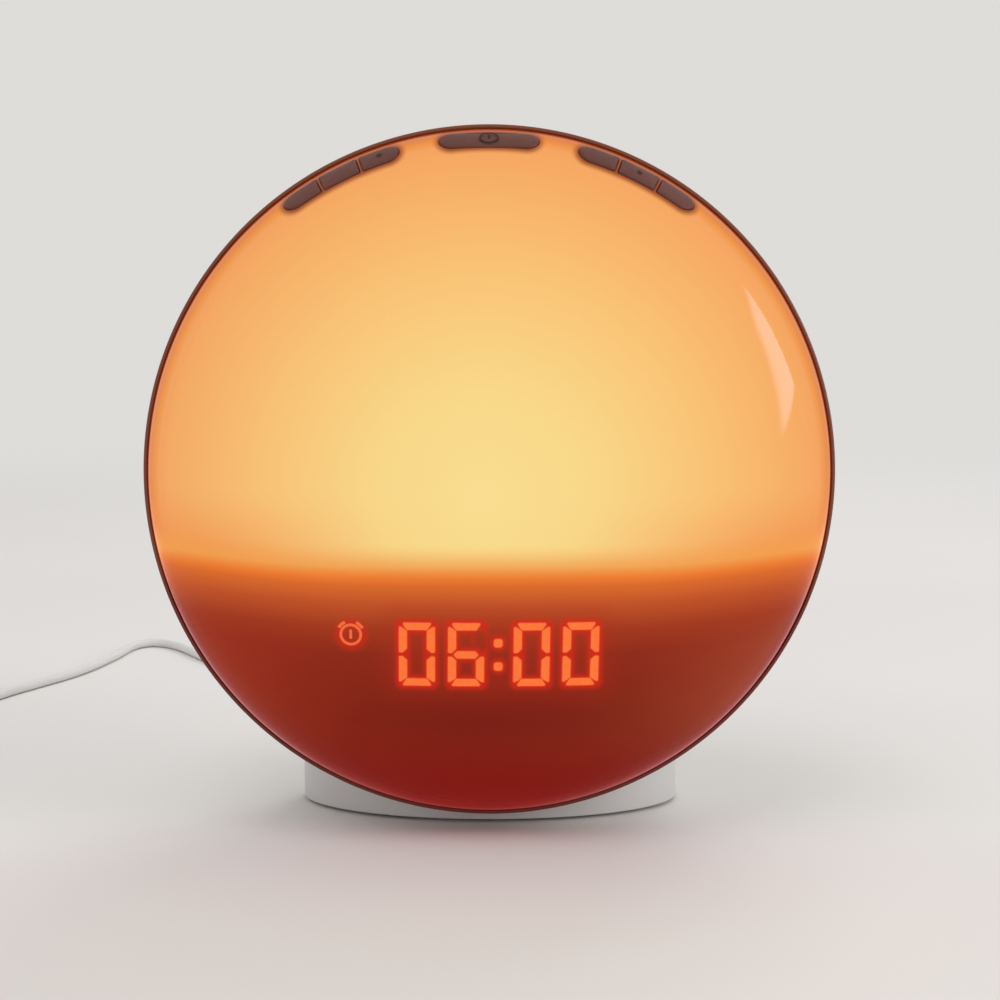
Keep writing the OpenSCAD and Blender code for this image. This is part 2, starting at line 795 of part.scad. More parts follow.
module rubber_feet() {
    color("#3c3c3e") foot_places() cylinder(r = foot_r, h = foot_t);
}

// ---- Cord ----

module dc_plug() {
    color("#e9e8e6") at_jack() {
        translate([0, 0, -plug_l]) cylinder(r = plug_r, h = plug_l);
        difference() {
            cylinder(r = barrel_r, h = barrel_l);
            translate([0, 0, 0.8]) cylinder(r = barrel_bore_r, h = barrel_l);
        }
    }
}

module cord_relief() {
    color("#e9e8e6") at_jack() translate([0, 0, -plug_l - relief_l])
        cylinder(r1 = cord_d / 2 + 0.2, r2 = relief_r, h = relief_l);
}

function heading(points, i) = unit(points[min(i + 1, len(points) - 1)] - points[max(i - 1, 0)]);
function ring(centre, along, sides) = let (side = unit(cross(along, [0, 0, 1])), up = cross(side, along))
    [for (k = [0:sides - 1]) centre + cord_d / 2 * (sin(360 * k / sides) * side - cos(360 * k / sides) * up)];

// A closed tube along points, with a flat end at both ends
module tube(points, sides) {
    last = len(points) - 1;
    corners = [for (i = [0:last]) each ring(points[i], heading(points, i), sides)];
    walls = [for (i = [0:last - 1], k = [0:sides - 1])
        let (a = i * sides + k, b = i * sides + (k + 1) % sides)
        each [[a, b, b + sides], [a, b + sides, a + sides]]];
    caps = [for (k = [1:sides - 2]) each [[0, k + 1, k],
        [last * sides, last * sides + k, last * sides + k + 1]]];
    polyhedron(points = corners, faces = concat(walls, caps));
}

function path_length(points) = len(points) < 2 ? 0
    : let (steps = [for (i = [1:len(points) - 1]) norm(points[i] - points[i - 1])]) steps * [for (s = steps) 1];

// The coil winds clockwise: inwards on the floor, a climb, then outwards on top
function coil_radius(turn) = coil_r - coil_pitch * min(turn, coil_turns - turn);
function coil_height(turn) =
    floor_z + coil_pitch * min(1, max(0, (turn - coil_turns / 2) / coil_climb + 0.5));
function coil_point(turn) = [coil_x + coil_radius(turn) * cos(coil_start - 360 * turn),
    coil_y + coil_radius(turn) * sin(coil_start - 360 * turn), coil_height(turn)];
coil_count = ceil(coil_turns * coil_steps);
coil_loops = [for (i = [0:coil_count]) coil_point(coil_turns * i / coil_count)];
coil_in = unit([sin(coil_start), -cos(coil_start), 0]);
coil_out_angle = coil_start - 360 * coil_turns;
coil_out = unit([sin(coil_out_angle), -cos(coil_out_angle), 0]);
coil_first = coil_loops[0] - coil_in * cord_d;
coil_last = coil_loops[coil_count] + coil_out * cord_d;
coil_points = concat([coil_first], coil_loops, [coil_last]);
run_points = concat([[-jack_x, cord_start, centre_z - jack_drop]], cord_route,
    [coil_first - coil_in * cord_d * 2, coil_first]);
tail_points = [for (i = [0:5]) let (s = i / 5) [coil_last.x + coil_out.x * tail_l * s,
    coil_last.y + coil_out.y * tail_l * s, coil_last.z + (usb_h / 2 - coil_last.z) * s * s * (3 - 2 * s)]];
usb_start = tail_points[5];

// The least gap of the coil to itself, between points at least half a turn apart
coil_least = min([for (i = [0:coil_count], j = [i + coil_steps / 2:coil_count])
    norm(coil_loops[i] - coil_loops[j])]) - cord_d;
echo(str("cord length ", path_length(run_points) + path_length(coil_points) + path_length(tail_points),
    " mm, least gap of the coil ", coil_least, " mm"));

module cord_run() {
    color("#ecebe9") tube(run_points, cord_sides);
}

module cord_coil() {
    color("#ecebe9") tube(coil_points, coil_sides);
}

module cord_tail() {
    color("#ecebe9") tube(tail_points, cord_sides);
}

module at_usb() {
    translate([usb_start.x, usb_start.y, 0]) rotate(atan2(coil_out.y, coil_out.x)) children();
}

module usb_plug() {
    color("#ecebe9") at_usb() {
        translate([3, -usb_w / 2, 0]) cube([usb_l - 3, usb_w, usb_h]);
        translate([0, -3, usb_h / 2 - 3]) cube([3 + eps, 6, 6]);
    }
}

module usb_shell() {
    color("#b4b6b9") at_usb() translate([usb_l, -usb_shell_w / 2, (usb_h - usb_shell_h) / 2]) {
        difference() {
            cube([usb_shell_l, usb_shell_w, usb_shell_h]);
            translate([1, usb_wall, usb_wall])
                cube([usb_shell_l, usb_shell_w - 2 * usb_wall, usb_shell_h - 2 * usb_wall]);
        }
        translate([0.5, usb_wall, usb_wall]) cube([usb_shell_l - 1, usb_shell_w - 2 * usb_wall, 1.8]);
    }
}

front_diffuser();
light_baffle();
mid_frame();
lamp_reflector();
lamp_board();
lamp_leds();
display_board();
display_block();
display_segments();
display_film();
alarm_light();
main_board();
board_parts();
coin_cell_holder();
coin_cell();
key_board_top();
key_board_left();
key_board_right();
switch_cases_top();
switch_cases_left();
switch_cases_right();
key_top();
key_left_1();
key_left_2();
key_left_3();
key_right_1();
key_right_2();
key_right_3();
plunger_top();
plunger_left_1();
plunger_left_2();
plunger_left_3();
plunger_right_1();
plunger_right_2();
plunger_right_3();
rear_housing();
speaker_grille();
speaker_frame();
speaker_cone();
speaker_magnet();
dc_jack();
housing_screws();
base_stand();
base_plate();
stand_screws();
base_screws();
rubber_feet();
dc_plug();
cord_relief();
cord_run();
cord_coil();
cord_tail();
usb_plug();
usb_shell();
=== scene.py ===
"""Sunrise alarm clock: the finish of a round glowing dome with its digits and keys,
the rear housing, the oval base and the power cord. Lengths are in metres; the front
faces -Y. The shapes are worked out in millimetres from the sizes below."""
from math import acos, atan2, ceil, cos, hypot, pi, radians, sin, sqrt, tan

import bmesh
import bpy
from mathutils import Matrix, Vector


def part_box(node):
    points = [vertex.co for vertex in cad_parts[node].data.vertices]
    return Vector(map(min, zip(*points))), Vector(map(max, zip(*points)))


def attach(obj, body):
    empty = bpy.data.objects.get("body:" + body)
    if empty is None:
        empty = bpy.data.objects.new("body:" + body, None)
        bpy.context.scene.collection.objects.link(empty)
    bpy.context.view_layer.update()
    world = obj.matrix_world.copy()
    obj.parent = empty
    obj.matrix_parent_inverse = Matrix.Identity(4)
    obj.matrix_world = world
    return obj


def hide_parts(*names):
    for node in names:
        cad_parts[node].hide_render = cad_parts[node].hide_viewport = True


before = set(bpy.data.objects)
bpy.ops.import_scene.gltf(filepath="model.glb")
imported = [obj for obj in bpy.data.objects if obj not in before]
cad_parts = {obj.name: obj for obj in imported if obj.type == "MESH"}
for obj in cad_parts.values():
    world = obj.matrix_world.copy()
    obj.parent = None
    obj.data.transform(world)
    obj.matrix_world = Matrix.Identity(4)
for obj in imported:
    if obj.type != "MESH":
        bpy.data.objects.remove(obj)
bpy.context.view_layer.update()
MM = 0.001

# ---- Sizes of the clock, in millimetres, taken from the frame where it has them ----


def frame_box(node):
    """The lowest and highest corner of a piece of the frame, in millimetres."""
    low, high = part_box(node)
    return low / MM, high / MM


LIFT = 4.0
SKIRT = 2.0
HOUSING_HIGH = frame_box("rear_housing")[1]
DOME_LOW, DOME_HIGH = frame_box("front_diffuser")
BASE_LOW, BASE_HIGH = frame_box("base_stand")
LIP_R = HOUSING_HIGH.x
LIP_W = 1.0
LIP_FRONT = 0.6
LIP_BACK = 3.0
CENTRE_Z = LIFT + LIP_R
MIDDLE = (0.0, CENTRE_Z)
DOME_R = DOME_HIGH.x
SEAM_Y = DOME_HIGH.y - SKIRT
DOME_DEPTH = SEAM_Y - DOME_LOW.y
DOME_WALL = 2.2
REAR_DEPTH = HOUSING_HIGH.y - SEAM_Y
REAR_WALL = 2.4
FLAT_R = 44.0
SHELF_DROP = 21.5

KEY_ROW = radians(14.6)
KEY_W = 6.6
KEY_GAP = 0.25
KEY_RIB = 0.4
KEY_PITCH = 10.5
KEY_TOP_LEN = 24.0
KEY_SIDE_ANGLE = radians(26.2)
KEY_PROUD = 0.3
KEY_SKIRT = 3.0

DIGIT_W = 8.4
DIGIT_H = 15.4
BAR_W = 1.85
ROW_BAR_W = 1.72
BAR_GAP = 0.5
MID_GAP = 0.48
DIGIT_DROP = 39.8
COLON_X = 2.2
COLON_RISE = 2.85
COLON_HALF = 0.98
DIGIT_XS = (-16.8, -5.3, 10.0, 21.5)
DIGIT_LEAN = 0.012
ICON_AT = (-32.3, -35.3)
ICON_R = 2.68
ICON_STROKE = 0.64

GRILLE_R = 27.0
GRILLE_Y = 6.0
GRILLE_T = 1.6
GRILLE_LEDGE = 3.0
GRILLE_PITCH = 5.0
GRILLE_HOLE_R = 1.3
WELL_AT = 41.0
WELL_R = 4.0
WELL_END = 38.4
JACK_AT = (-18.0, CENTRE_Z - 33.0)
JACK_HOLE_R = 6.05

BASE_W, BASE_Z = 99.2, 0.8
BASE_H = BASE_HIGH.z
BASE_FRONT = 28.0
BASE_Y = BASE_LOW.y + BASE_FRONT
BASE_REAR = BASE_HIGH.y - BASE_Y
FIT = 0.15


# ---- Outlines ----


def oval_point(a, b, t):
    return a * cos(t), b * sin(t)


def oval_line(a, b, start, end, steps):
    return [oval_point(a, b, start + (end - start) * i / steps) for i in range(steps + 1)]


def box_corners(a, b):
    return [(a, -b), (a, b), (-a, b), (-a, -b)]


def oval(a, b, count=40):
    """A closed oval, as a loop of points."""
    return oval_line(a, b, 0, 2 * pi, count)[:-1]


def rounded(points, radii, steps=6):
    """A closed outline whose corners are rounded, each by its own radius, or kept sharp at 0."""
    out = []
    count = len(points)
    for i, (point, radius) in enumerate(zip(points, radii)):
        here = Vector(point)
        back = Vector(points[i - 1]) - here
        ahead = Vector(points[(i + 1) % count]) - here
        if radius <= 0:
            out.append(tuple(here))
            continue
        angle = back.angle(ahead)
        reach = radius / tan(angle / 2)
        centre = here + (back.normalized() + ahead.normalized()).normalized() * radius / sin(angle / 2)
        first = here + back.normalized() * reach - centre
        turn = pi - angle
        side = 1 if back.x * ahead.y - back.y * ahead.x < 0 else -1
        for k in range(steps + 1):
            a = side * turn * k / steps
            out.append((centre.x + first.x * cos(a) - first.y * sin(a),
                        centre.y + first.x * sin(a) + first.y * cos(a)))
    return out


# ---- Places ----


def clock_point(r, angle, depth, at=MIDDLE):
    """A point at a radius and an angle from the top, and a depth in front of the seam."""
    return Vector((at[0] + r * sin(angle), SEAM_Y - depth, at[1] + r * cos(angle))) * MM


def oval_normal(t):
    return Vector((cos(t) / DOME_R, sin(t) / DOME_DEPTH)).normalized()


KEY_R = oval_point(DOME_R, DOME_DEPTH, KEY_ROW)[0]
KEY_SPEED = hypot(DOME_R * sin(KEY_ROW), DOME_DEPTH * cos(KEY_ROW))


def key_point(group, u, v, height):
    """A point on the key row: u along the row, v towards the front, height above the dome."""
    t = KEY_ROW + v / KEY_SPEED
    r, depth = oval_point(DOME_R, DOME_DEPTH, t)
    n = oval_normal(t)
    return clock_point(r + n.x * height, group + u / KEY_R, depth + n.y * height)


def front_point(x, z, height):
    """A point over the dome, seen from the front at x and z from its middle."""
    r = hypot(x, z)
    t = acos(min(r / DOME_R, 1))
    n = oval_normal(t)
    return clock_point(r + n.x * height, atan2(x, z), DOME_DEPTH * sin(t) + n.y * height)


# ---- Meshes ----


# An edge stays sharp where the surface turns more than this
SHARP = radians(32)


def placed(name, data):
    """A new object in the scene."""
    thing = bpy.data.objects.new(name, data)
    bpy.context.scene.collection.objects.link(thing)
    return thing


def edited(mesh, *steps):
    """Runs steps of editing on a mesh."""
    bm = bmesh.new()
    bm.from_mesh(mesh)
    for step in steps:
        step(bm)
    bm.to_mesh(mesh)
    bm.free()


def cleaned(bm):
    bmesh.ops.remove_doubles(bm, verts=bm.verts, dist=1e-7)
    bmesh.ops.dissolve_degenerate(bm, edges=bm.edges, dist=1e-8)
    bmesh.ops.recalc_face_normals(bm, faces=bm.faces)


def edged(bm):
    for edge in bm.edges:
        edge.smooth = len(edge.link_faces) == 2 and edge.calc_face_angle(0) < SHARP


def shade(mesh):
    mesh.shade_smooth()
    edited(mesh, edged)


def piece_from(name, points, faces, finish):
    mesh = bpy.data.meshes.new(name)
    mesh.from_pydata([tuple(p) for p in points], [], faces)
    edited(mesh, cleaned)
    shade(mesh)
    mesh.materials.append(finish)
    return placed(name, mesh)


def turned(name, outline, finish, at=MIDDLE, segments=256):
    """A closed outline of radius and depth, turned about an axis along Y."""
    points, rings = [], []
    for r, depth in outline:
        if r < 1e-6:
            rings.append([len(points)] * segments)
            points.append(clock_point(0, 0, depth, at))
        else:
            rings.append(list(range(len(points), len(points) + segments)))
            points += [clock_point(r, 2 * pi * k / segments, depth, at)
                       for k in range(segments)]
    faces = []
    for i, ring in enumerate(rings):
        ahead = rings[(i + 1) % len(rings)]
        for k in range(segments):
            corners = [ring[k], ring[(k + 1) % segments], ahead[(k + 1) % segments], ahead[k]]
            corners = [c for n, c in enumerate(corners) if c != corners[n - 1]]
            if len(corners) > 2:
                faces.append(corners)
    return piece_from(name, points, faces, finish)


def shell_faces(base, count, levels):
    """The faces of a closed solid through loops of one count of points, with its two caps."""
    faces = []
    for low in range(base, base + (levels - 1) * count, count):
        for k in range(count):
            a, b = low + k, low + (k + 1) % count
            faces.append([a, b, b + count, a + count])
    top = base + (levels - 1) * count
    return faces + [list(range(base, base + count))[::-1], list(range(top, top + count))]


def stacked(name, loops, finish):
    """A closed solid through loops of points of the same count, capped at both ends."""
    points = [p for loop in loops for p in loop]
    return piece_from(name, points, shell_faces(0, len(loops[0]), len(loops)), finish)


def ring_faces(base, count):
    """The faces of a closed band, whose outer and inner line come one after the other, twice."""
    faces = []
    for k in range(count):
        a, b = base + k, base + (k + 1) % count
        faces += [[a, b, b + 2 * count, a + 2 * count],
                  [a + count, a + 3 * count, b + 3 * count, b + count],
                  [a, a + count, b + count, b],
                  [a + 2 * count, b + 2 * count, b + 3 * count, a + 3 * count]]
    return faces


def settle(piece):
    """Turns the result of a piece's modifiers into its plain mesh."""
    view = bpy.context.evaluated_depsgraph_get()
    mesh = bpy.data.meshes.new_from_object(piece.evaluated_get(view))
    piece.modifiers.clear()
    piece.data = mesh
    shade(mesh)


def cut(piece, cutters):
    """Cuts shapes out of a piece and deletes them."""
    for cutter in cutters:
        modifier = piece.modifiers.new("cut", "BOOLEAN")
        modifier.operation = "DIFFERENCE"
        modifier.solver = "EXACT"
        modifier.object = cutter
    settle(piece)
    for cutter in cutters:
        bpy.data.objects.remove(cutter)


def joined(name, pieces):
    """Several pieces of one finish as one."""
    bm = bmesh.new()
    for piece in pieces:
        bm.from_mesh(piece.data)
    mesh = bpy.data.meshes.new(name)
    bm.to_mesh(mesh)
    bm.free()
    mesh.materials.append(pieces[0].data.materials[0])
    for piece in pieces:
        bpy.data.objects.remove(piece)
    shade(mesh)
    return placed(name, mesh)


def peg(radius, depth_from, depth_to, at, segments=48):
    """A round cutter along Y, between two depths in front of the seam."""
    outline = [(0, depth_from), (radius, depth_from), (radius, depth_to), (0, depth_to)]
    return turned("cut", outline, HOUSING, at, segments)


# ---- Finishes ----


def linear(hex_colour):
    """A colour of the screen, such as "fbc878", as light."""
    parts = [int(hex_colour[i:i + 2], 16) / 255 for i in (0, 2, 4)]
    return [c / 12.92 if c <= 0.04045 else ((c + 0.055) / 1.055) ** 2.4 for c in parts] + [1.0]


def worked_by(operation):
    return lambda *terms: terms[0].graph.math(operation, *terms)


class Value:
    """A number that nodes work out, for sums written with the usual signs."""

    def __init__(self, graph, socket):
        self.graph, self.socket = graph, socket

    __add__ = worked_by("ADD")
    __sub__ = worked_by("SUBTRACT")
    __mul__ = worked_by("MULTIPLY")
    __truediv__ = worked_by("DIVIDE")
    __pow__ = worked_by("POWER")
    __abs__ = worked_by("ABSOLUTE")
    max = worked_by("MAXIMUM")
    min = worked_by("MINIMUM")


class Graph:
    """A tree of nodes in the making."""

    def __init__(self, tree):
        self.tree = tree

    def feed(self, socket, value):
        """Links or sets an input. A node stands for its first output, and text for a colour."""
        if isinstance(value, Value):
            value = value.socket
        elif isinstance(value, bpy.types.Node):
            value = value.outputs[0]
        elif isinstance(value, str):
            value = linear(value)
        if isinstance(value, bpy.types.NodeSocket):
            self.tree.links.new(value, socket)
        else:
            socket.default_value = value

    def fill(self, node, *first, **named):
        """Sets a node's first inputs, other inputs by names in capitals, and its settings."""
        for label, value in named.items():
            if label[0].isupper():
                self.feed(node.inputs[label.replace("_", " ")], value)
            else:
                setattr(node, label, value)
        for socket, value in zip(node.inputs, first):
            self.feed(socket, value)
        return node

    def node(self, kind, *first, **named):
        return self.fill(self.tree.nodes.new(kind), *first, **named)

    def math(self, operation, *terms):
        return Value(self, self.node("ShaderNodeMath", *terms, operation=operation).outputs[0])

    def length(self, x, z, along=0.0, down=0.0):
        """The distance of x and z from a point."""
        dx, dz = x - along, z - down
        return self.math("SQRT", dx * dx + dz * dz)

    def ease(self, value, start, end):
        """0 before start and 1 after end, with a soft change between them."""
        span = (start, end, 0, 1) if start < end else (end, start, 1, 0)
        node = self.node("ShaderNodeMapRange", value, *span, interpolation_type="SMOOTHSTEP")
        return Value(self, node.outputs[0])

    def mix(self, share, a, b, **settings):
        node = self.node("ShaderNodeMix", data_type="RGBA", **settings)
        for i, value in ((0, share), (6, a), (7, b)):
            self.feed(node.inputs[i], value)
        return node.outputs[2]


class Recipe(Graph):
    """A material in the making: one Principled shader and what feeds it."""

    def __init__(self, name, roughness=0.5, gloss=0.5):
        self.material = bpy.data.materials.new(name)
        self.material.use_nodes = True
        super().__init__(self.material.node_tree)
        self.shader = self.tree.nodes["Principled BSDF"]
        self.fill(self.shader, Roughness=roughness, Specular_IOR_Level=gloss)
        self.place = self.node("ShaderNodeTexCoord").outputs["Object"]

    def clock_mm(self):
        """The place on the clock, in millimetres from its middle: x, y from the seam, z."""
        parts = self.node("ShaderNodeSeparateXYZ", self.place).outputs
        return (self.math("MULTIPLY", parts[0], 1 / MM),
                self.math("MULTIPLY_ADD", parts[1], 1 / MM, -SEAM_Y),
                self.math("MULTIPLY_ADD", parts[2], 1 / MM, -CENTRE_Z))

    def ramp(self, value, stops):
        """A colour along a value, from (value, colour) stops."""
        low, high = stops[0][0], stops[-1][0]
        node = self.node("ShaderNodeValToRGB", (value - low) / (high - low))
        elements = node.color_ramp.elements
        while len(elements) < len(stops):
            elements.new(0.5)
        for element, (at, colour) in zip(elements, stops):
            element.position = (at - low) / (high - low)
            element.color = linear(colour)
        return node.outputs[0]

    def noise(self, scale, detail=2.0, rough=0.5):
        return self.node("ShaderNodeTexNoise", Vector=self.place, Scale=scale, Detail=detail,
                         Roughness=rough)

    def patches(self, scale, colour, other, detail=3.0, start=0.3):
        """Two close colours in soft patches."""
        return self.mix(self.ease(self.noise(scale, detail), start, start + 0.4), colour, other)

    def grain(self, scale, strength):
        """Fine relief of a moulded or cast surface."""
        height = self.noise(scale, 3.0, 0.6)
        self.fill(self.shader, Normal=self.node(
            "ShaderNodeBump", Strength=strength, Distance=GRAIN_DEPTH * MM, Height=height))

    def rough(self, low, high, scale=180.0):
        """Roughness that wanders between two values."""
        self.fill(self.shader, Roughness=self.math("MULTIPLY_ADD", self.noise(scale), high - low, low))

    def paint(self, colour, glow=0.0):
        """Sets the colour, with a share of it as the surface's own light."""
        if glow:
            self.fill(self.shader, Emission_Color=colour, Emission_Strength=glow)
            colour = self.mix(1.0, colour, [1 - glow] * 3 + [1.0], blend_type="MULTIPLY")
        self.fill(self.shader, Base_Color=colour)


# Depth of a surface's grain, and how fine it is on plastic
GRAIN_DEPTH = 0.02
PLASTIC_GRAIN = 2600.0


def moulded(name, colour, dark, low=0.35, high=0.5, grain=0.25, gloss=0.4):
    """Moulded plastic or rubber with a fine grain and slightly uneven colour and gloss."""
    r = Recipe(name, gloss=gloss)
    r.paint(r.patches(60.0, colour, dark, start=0.35))
    r.rough(low, high)
    r.grain(PLASTIC_GRAIN, grain)
    return r.material


# The middle of the lamp's light, the half size of the display's haze and how far it reaches
LAMP_AT = (-1.2, -3.0)
HAZE_HALF_W, HAZE_HALF_H, HAZE_REACH = 22.0, 5.5, 9.5
# Where the glow beside a lit bar ends and where it is full, and the half length of a cross bar
BAR_FALL = (2.7, 0.75)
CROSS_HALF = 2.3
# How much shorter the key row looks from the front than it is along the dome, and its middle there
KEY_SLOPE = 0.57
KEY_ROW_R = KEY_R - 0.25


def dome_glow():
    """The lit dome: bright in its middle, orange at its rim, dark red below the shelf."""
    r = Recipe("dome_glow", roughness=0.06)
    r.fill(r.shader, IOR=1.2)
    x, y, z = r.clock_mm()
    radius = r.length(x, z)
    above = r.ramp(r.length(x, z, *LAMP_AT), [
        (0, "fde092"), (24, "fbda8a"), (50, "fbc677"), (79, "f6a860")])
    rim = r.ramp(radius, [(79.4, "f4a35d"), (81.1, "ed903a"), (83.2, "cc6414")])
    above = r.mix(r.ease(radius, 76.5, 79.6), above, rim)
    # Less light reaches the sides near the shelf
    fall = r.ease(z, 0.0, -18.0) * r.ease(abs(x), 10.0, 84.0)
    above = r.mix(fall * 0.65, above, "f48c44")
    # The shelf's line and the colours below it lie a little higher at the sides
    low = z - r.ease(radius, 40.0, 84.0) * 2.4
    below = r.ramp(low, [
        (-84, "880c02"), (-58, "78180c"), (-40, "902813"), (-34, "a33719"), (-28, "c15124"),
        (-23.5, "dc6b29"), (-21.8, "ef7a2c"), (-19, "f5a04c")])
    colour = r.mix(r.ease(low, -SHELF_DROP + 8.3, -SHELF_DROP + 0.7), above, below)
    # Lighter lower sides; on the right this is a painted sheen, the window's reflection there
    sides = r.ease(radius, 48.0, 84.0) * r.ease(z, -27.0, -40.0) * r.ease(z, -76.0, -50.0)
    # The lower rim painted deeper red, with less green and blue, to offset the pale floor's reflection
    # there
    low_rim = r.ease(radius, 79.0, 82.4) * r.ease(z, -26.0, -40.0)
    shade_border, rib, wall = key_shade(x, y, z, r)
    layers = [
        (sides * 0.62, r.mix(r.ease(x, -20.0, 60.0), "a43014", "aa4626")),
        (display_haze(x, z, r) * 0.35, "b02a14"),
        (bar_glow(x, z, r) * 0.8, "d62812"),
        # Painted shade round the keys: a darker border, darker ribs and dark walls in the window gaps
        (shade_border * 0.92, "923a0c"),
        (rib, "8a4a34"),
        (wall, "6c3018"),
        (low_rim * 0.85, "920500"),
        # Painted shade along the dome's outer edge, where it meets the housing's lip
        (r.ease(radius, 82.6, 83.7), r.mix(r.ease(z, -18.0, -30.0), "b04e18", "700a02"))]
    for share, tone in layers:
        colour = r.mix(share, colour, tone)
    r.paint(colour, glow=0.8)
    return r.material


def display_haze(x, z, r):
    """1 over the digits, and falling off round them."""
    past_x = (abs(x - COLON_X) - HAZE_HALF_W).max(0)
    past_z = (abs(z + DIGIT_DROP) - HAZE_HALF_H).max(0)
    return r.ease(r.length(past_x, past_z), HAZE_REACH, 0)


def bar_glow(x, z, r):
    """1 at the lit bars, the colon and the alarm mark, and falling off within a few millimetres."""
    half_w, half_h = (DIGIT_W - BAR_W) / 2, (DIGIT_H - ROW_BAR_W) / 2
    middle = (DIGIT_XS[0] + DIGIT_XS[3]) / 2
    pair = (DIGIT_XS[2] + DIGIT_XS[3]) / 2 - middle
    digit = (DIGIT_XS[3] - DIGIT_XS[2]) / 2
    # All the digits are folded onto a quarter of one, and the bars lie on its outline
    down = abs(z + DIGIT_DROP)
    past_x = abs(abs(abs(x - middle) - pair) - digit) - half_w
    past_z = down - half_h
    outline = r.length(past_x.max(0), past_z.max(0)) + past_x.max(past_z).min(0)
    bars = r.ease(abs(outline), *BAR_FALL)
    # The 6 has no bar at its upper right, and one across its middle
    dark_x = x - (DIGIT_XS[1] + half_w)
    dark_z = abs(z + (DIGIT_DROP - half_h / 2)) - (half_h / 2 - 2.4)
    bars *= r.ease(r.length(dark_x, dark_z.max(0)), 0.6, 2.4)
    cross_x = abs(x - DIGIT_XS[1]) - CROSS_HALF
    cross = r.ease(r.length(cross_x.max(0), down), *BAR_FALL)
    dots = r.ease(r.length(x - COLON_X, down - COLON_RISE), 2.8, 0.8)
    mark = r.ease(abs(r.length(x, z, *ICON_AT) - ICON_R), 2.3, 0.2) * 0.7
    return bars.max(cross).max(dots).max(mark)


def key_shade(x, y, z, r):
    """Painted shade round the key windows: the darker border, the darker ribs between the keys and the dark
    walls beside them.
    """
    radius, angle = r.length(x, z), r.math("ARCTAN2", abs(x), z)
    row = abs(radius - KEY_ROW_R) / KEY_SLOPE
    shares = []
    for group, half in ((0.0, KEY_TOP_LEN / 2), (KEY_SIDE_ANGLE, 1.5 * KEY_PITCH - KEY_RIB / 2)):
        past = (abs(angle - group) * KEY_R - (half - KEY_W / 2)).max(0)
        shade_border = r.ease(r.length(past * 1.3, row), KEY_W / 2 + 3.5, KEY_W / 2 + 0.5)
        rib = r.ease(r.length(past, row), KEY_W / 2 + KEY_GAP, KEY_W / 2 - 0.1)
        shares.append((shade_border, rib))
    shade_border, rib = (a.max(b) for a, b in zip(*shares))
    shell = (radius / DOME_R) ** 2.0 + (y / DOME_DEPTH) ** 2.0
    return shade_border, rib, shade_border * r.ease(shell, 0.997, 0.988)


def housing_white():
    """White satin plastic, with the dome's glow and shade painted on its lip where it meets the dome."""
    r = Recipe("housing_white", gloss=0.45)
    _, y, z = r.clock_mm()
    plain = r.patches(45.0, "dfdddb", "dcdad7", start=0.35)
    # Painted glow and shade on the lip: red-brown, darker lower down
    lip_glow_paint = r.mix(r.ease(z, -18.0, -34.0), "7c4228", "74261a")
    r.paint(r.mix(r.ease(y, 2.4, 0.8), plain, lip_glow_paint))
    r.rough(0.32, 0.42)
    r.grain(PLASTIC_GRAIN, 0.25)
    return r.material


def lit(name, colour, other, glow=0.85):
    """A bar or mark that shines through the dome."""
    r = Recipe(name, roughness=0.3, gloss=0.2)
    r.paint(r.patches(900.0, colour, other, detail=1.0), glow)
    return r.material


def metal(name, colour, low=0.22, high=0.4):
    r = Recipe(name)
    r.fill(r.shader, Metallic=1.0)
    r.paint(r.patches(400.0, colour, "8e8f91"))
    r.rough(low, high, 700.0)
    r.grain(1800.0, 0.12)
    return r.material


DOME = dome_glow()
HOUSING = housing_white()
# The keys' dark red-brown holds painted light: the dome's orange glow and the shade the keys sit in
KEY = moulded("key_grey", "64382e", "5d332a", 0.42, 0.55, 0.3, 0.3)
KEY_MARK = moulded("key_mark", "40241e", "3a201b", 0.5, 0.6, 0.1, 0.2)
DIGIT = lit("digit_light", "ff7a36", "fd7433")
DIGIT_EDGE = lit("digit_edge_light", "ea3c1a", "e63818")
ICON = lit("icon_light", "f86c3a", "f46836")
BASE = moulded("base_white", "d9d7d5", "d6d4d2", 0.38, 0.5, 0.25)
PLATE = moulded("base_plate_grey", "c3c1bd", "bfbdb9", 0.5, 0.62, 0.4)
GRILLE = moulded("grille_white", "d6d4d1", "d2d0cd", 0.4, 0.52, 0.3)
CORD = moulded("cord_white", "dbdad8", "d8d7d4", 0.42, 0.55, 0.35)
PLUG = moulded("plug_white", "dddcd9", "dad8d5", 0.34, 0.46, 0.25)
STRAP = moulded("strap_grey", "8f9092", "7c7d80", 0.75, 0.9, 0.8, 0.2)
RUBBER = moulded("foot_rubber", "2e2e30", "262628", 0.7, 0.85, 0.5, 0.3)
BLACK = moulded("inner_black", "222224", "1b1b1d", 0.45, 0.6, 0.3)
STEEL = metal("screw_steel", "b4b6b8")
CHROME = metal("plug_chrome", "c6c8ca", 0.12, 0.24)


# ---- Camera ----


# The photograph's viewpoint, in millimetres, its downward tilt in degrees and its lens
VIEW_FROM = (2.62, -482.0, 128.2)
VIEW_TILT = 5.52
VIEW_LENS = 69.05


def camera():
    """The photograph's view: a little above the middle of the dome, looking slightly down."""
    view = bpy.data.cameras.new("camera")
    view.sensor_fit = "HORIZONTAL"
    view.sensor_width = 36.0
    view.lens = VIEW_LENS
    view.clip_start = 0.01
    holder = placed("camera", view)
    holder.location = Vector(VIEW_FROM) * MM
    holder.rotation_euler = (radians(90 - VIEW_TILT), 0, 0)
    bpy.context.scene.camera = holder


# ---- Cord ----

CORD_D = 3.2
FLOOR_Z = CORD_D / 2
CORD_START = (-18.0, 82.0, 56.0)
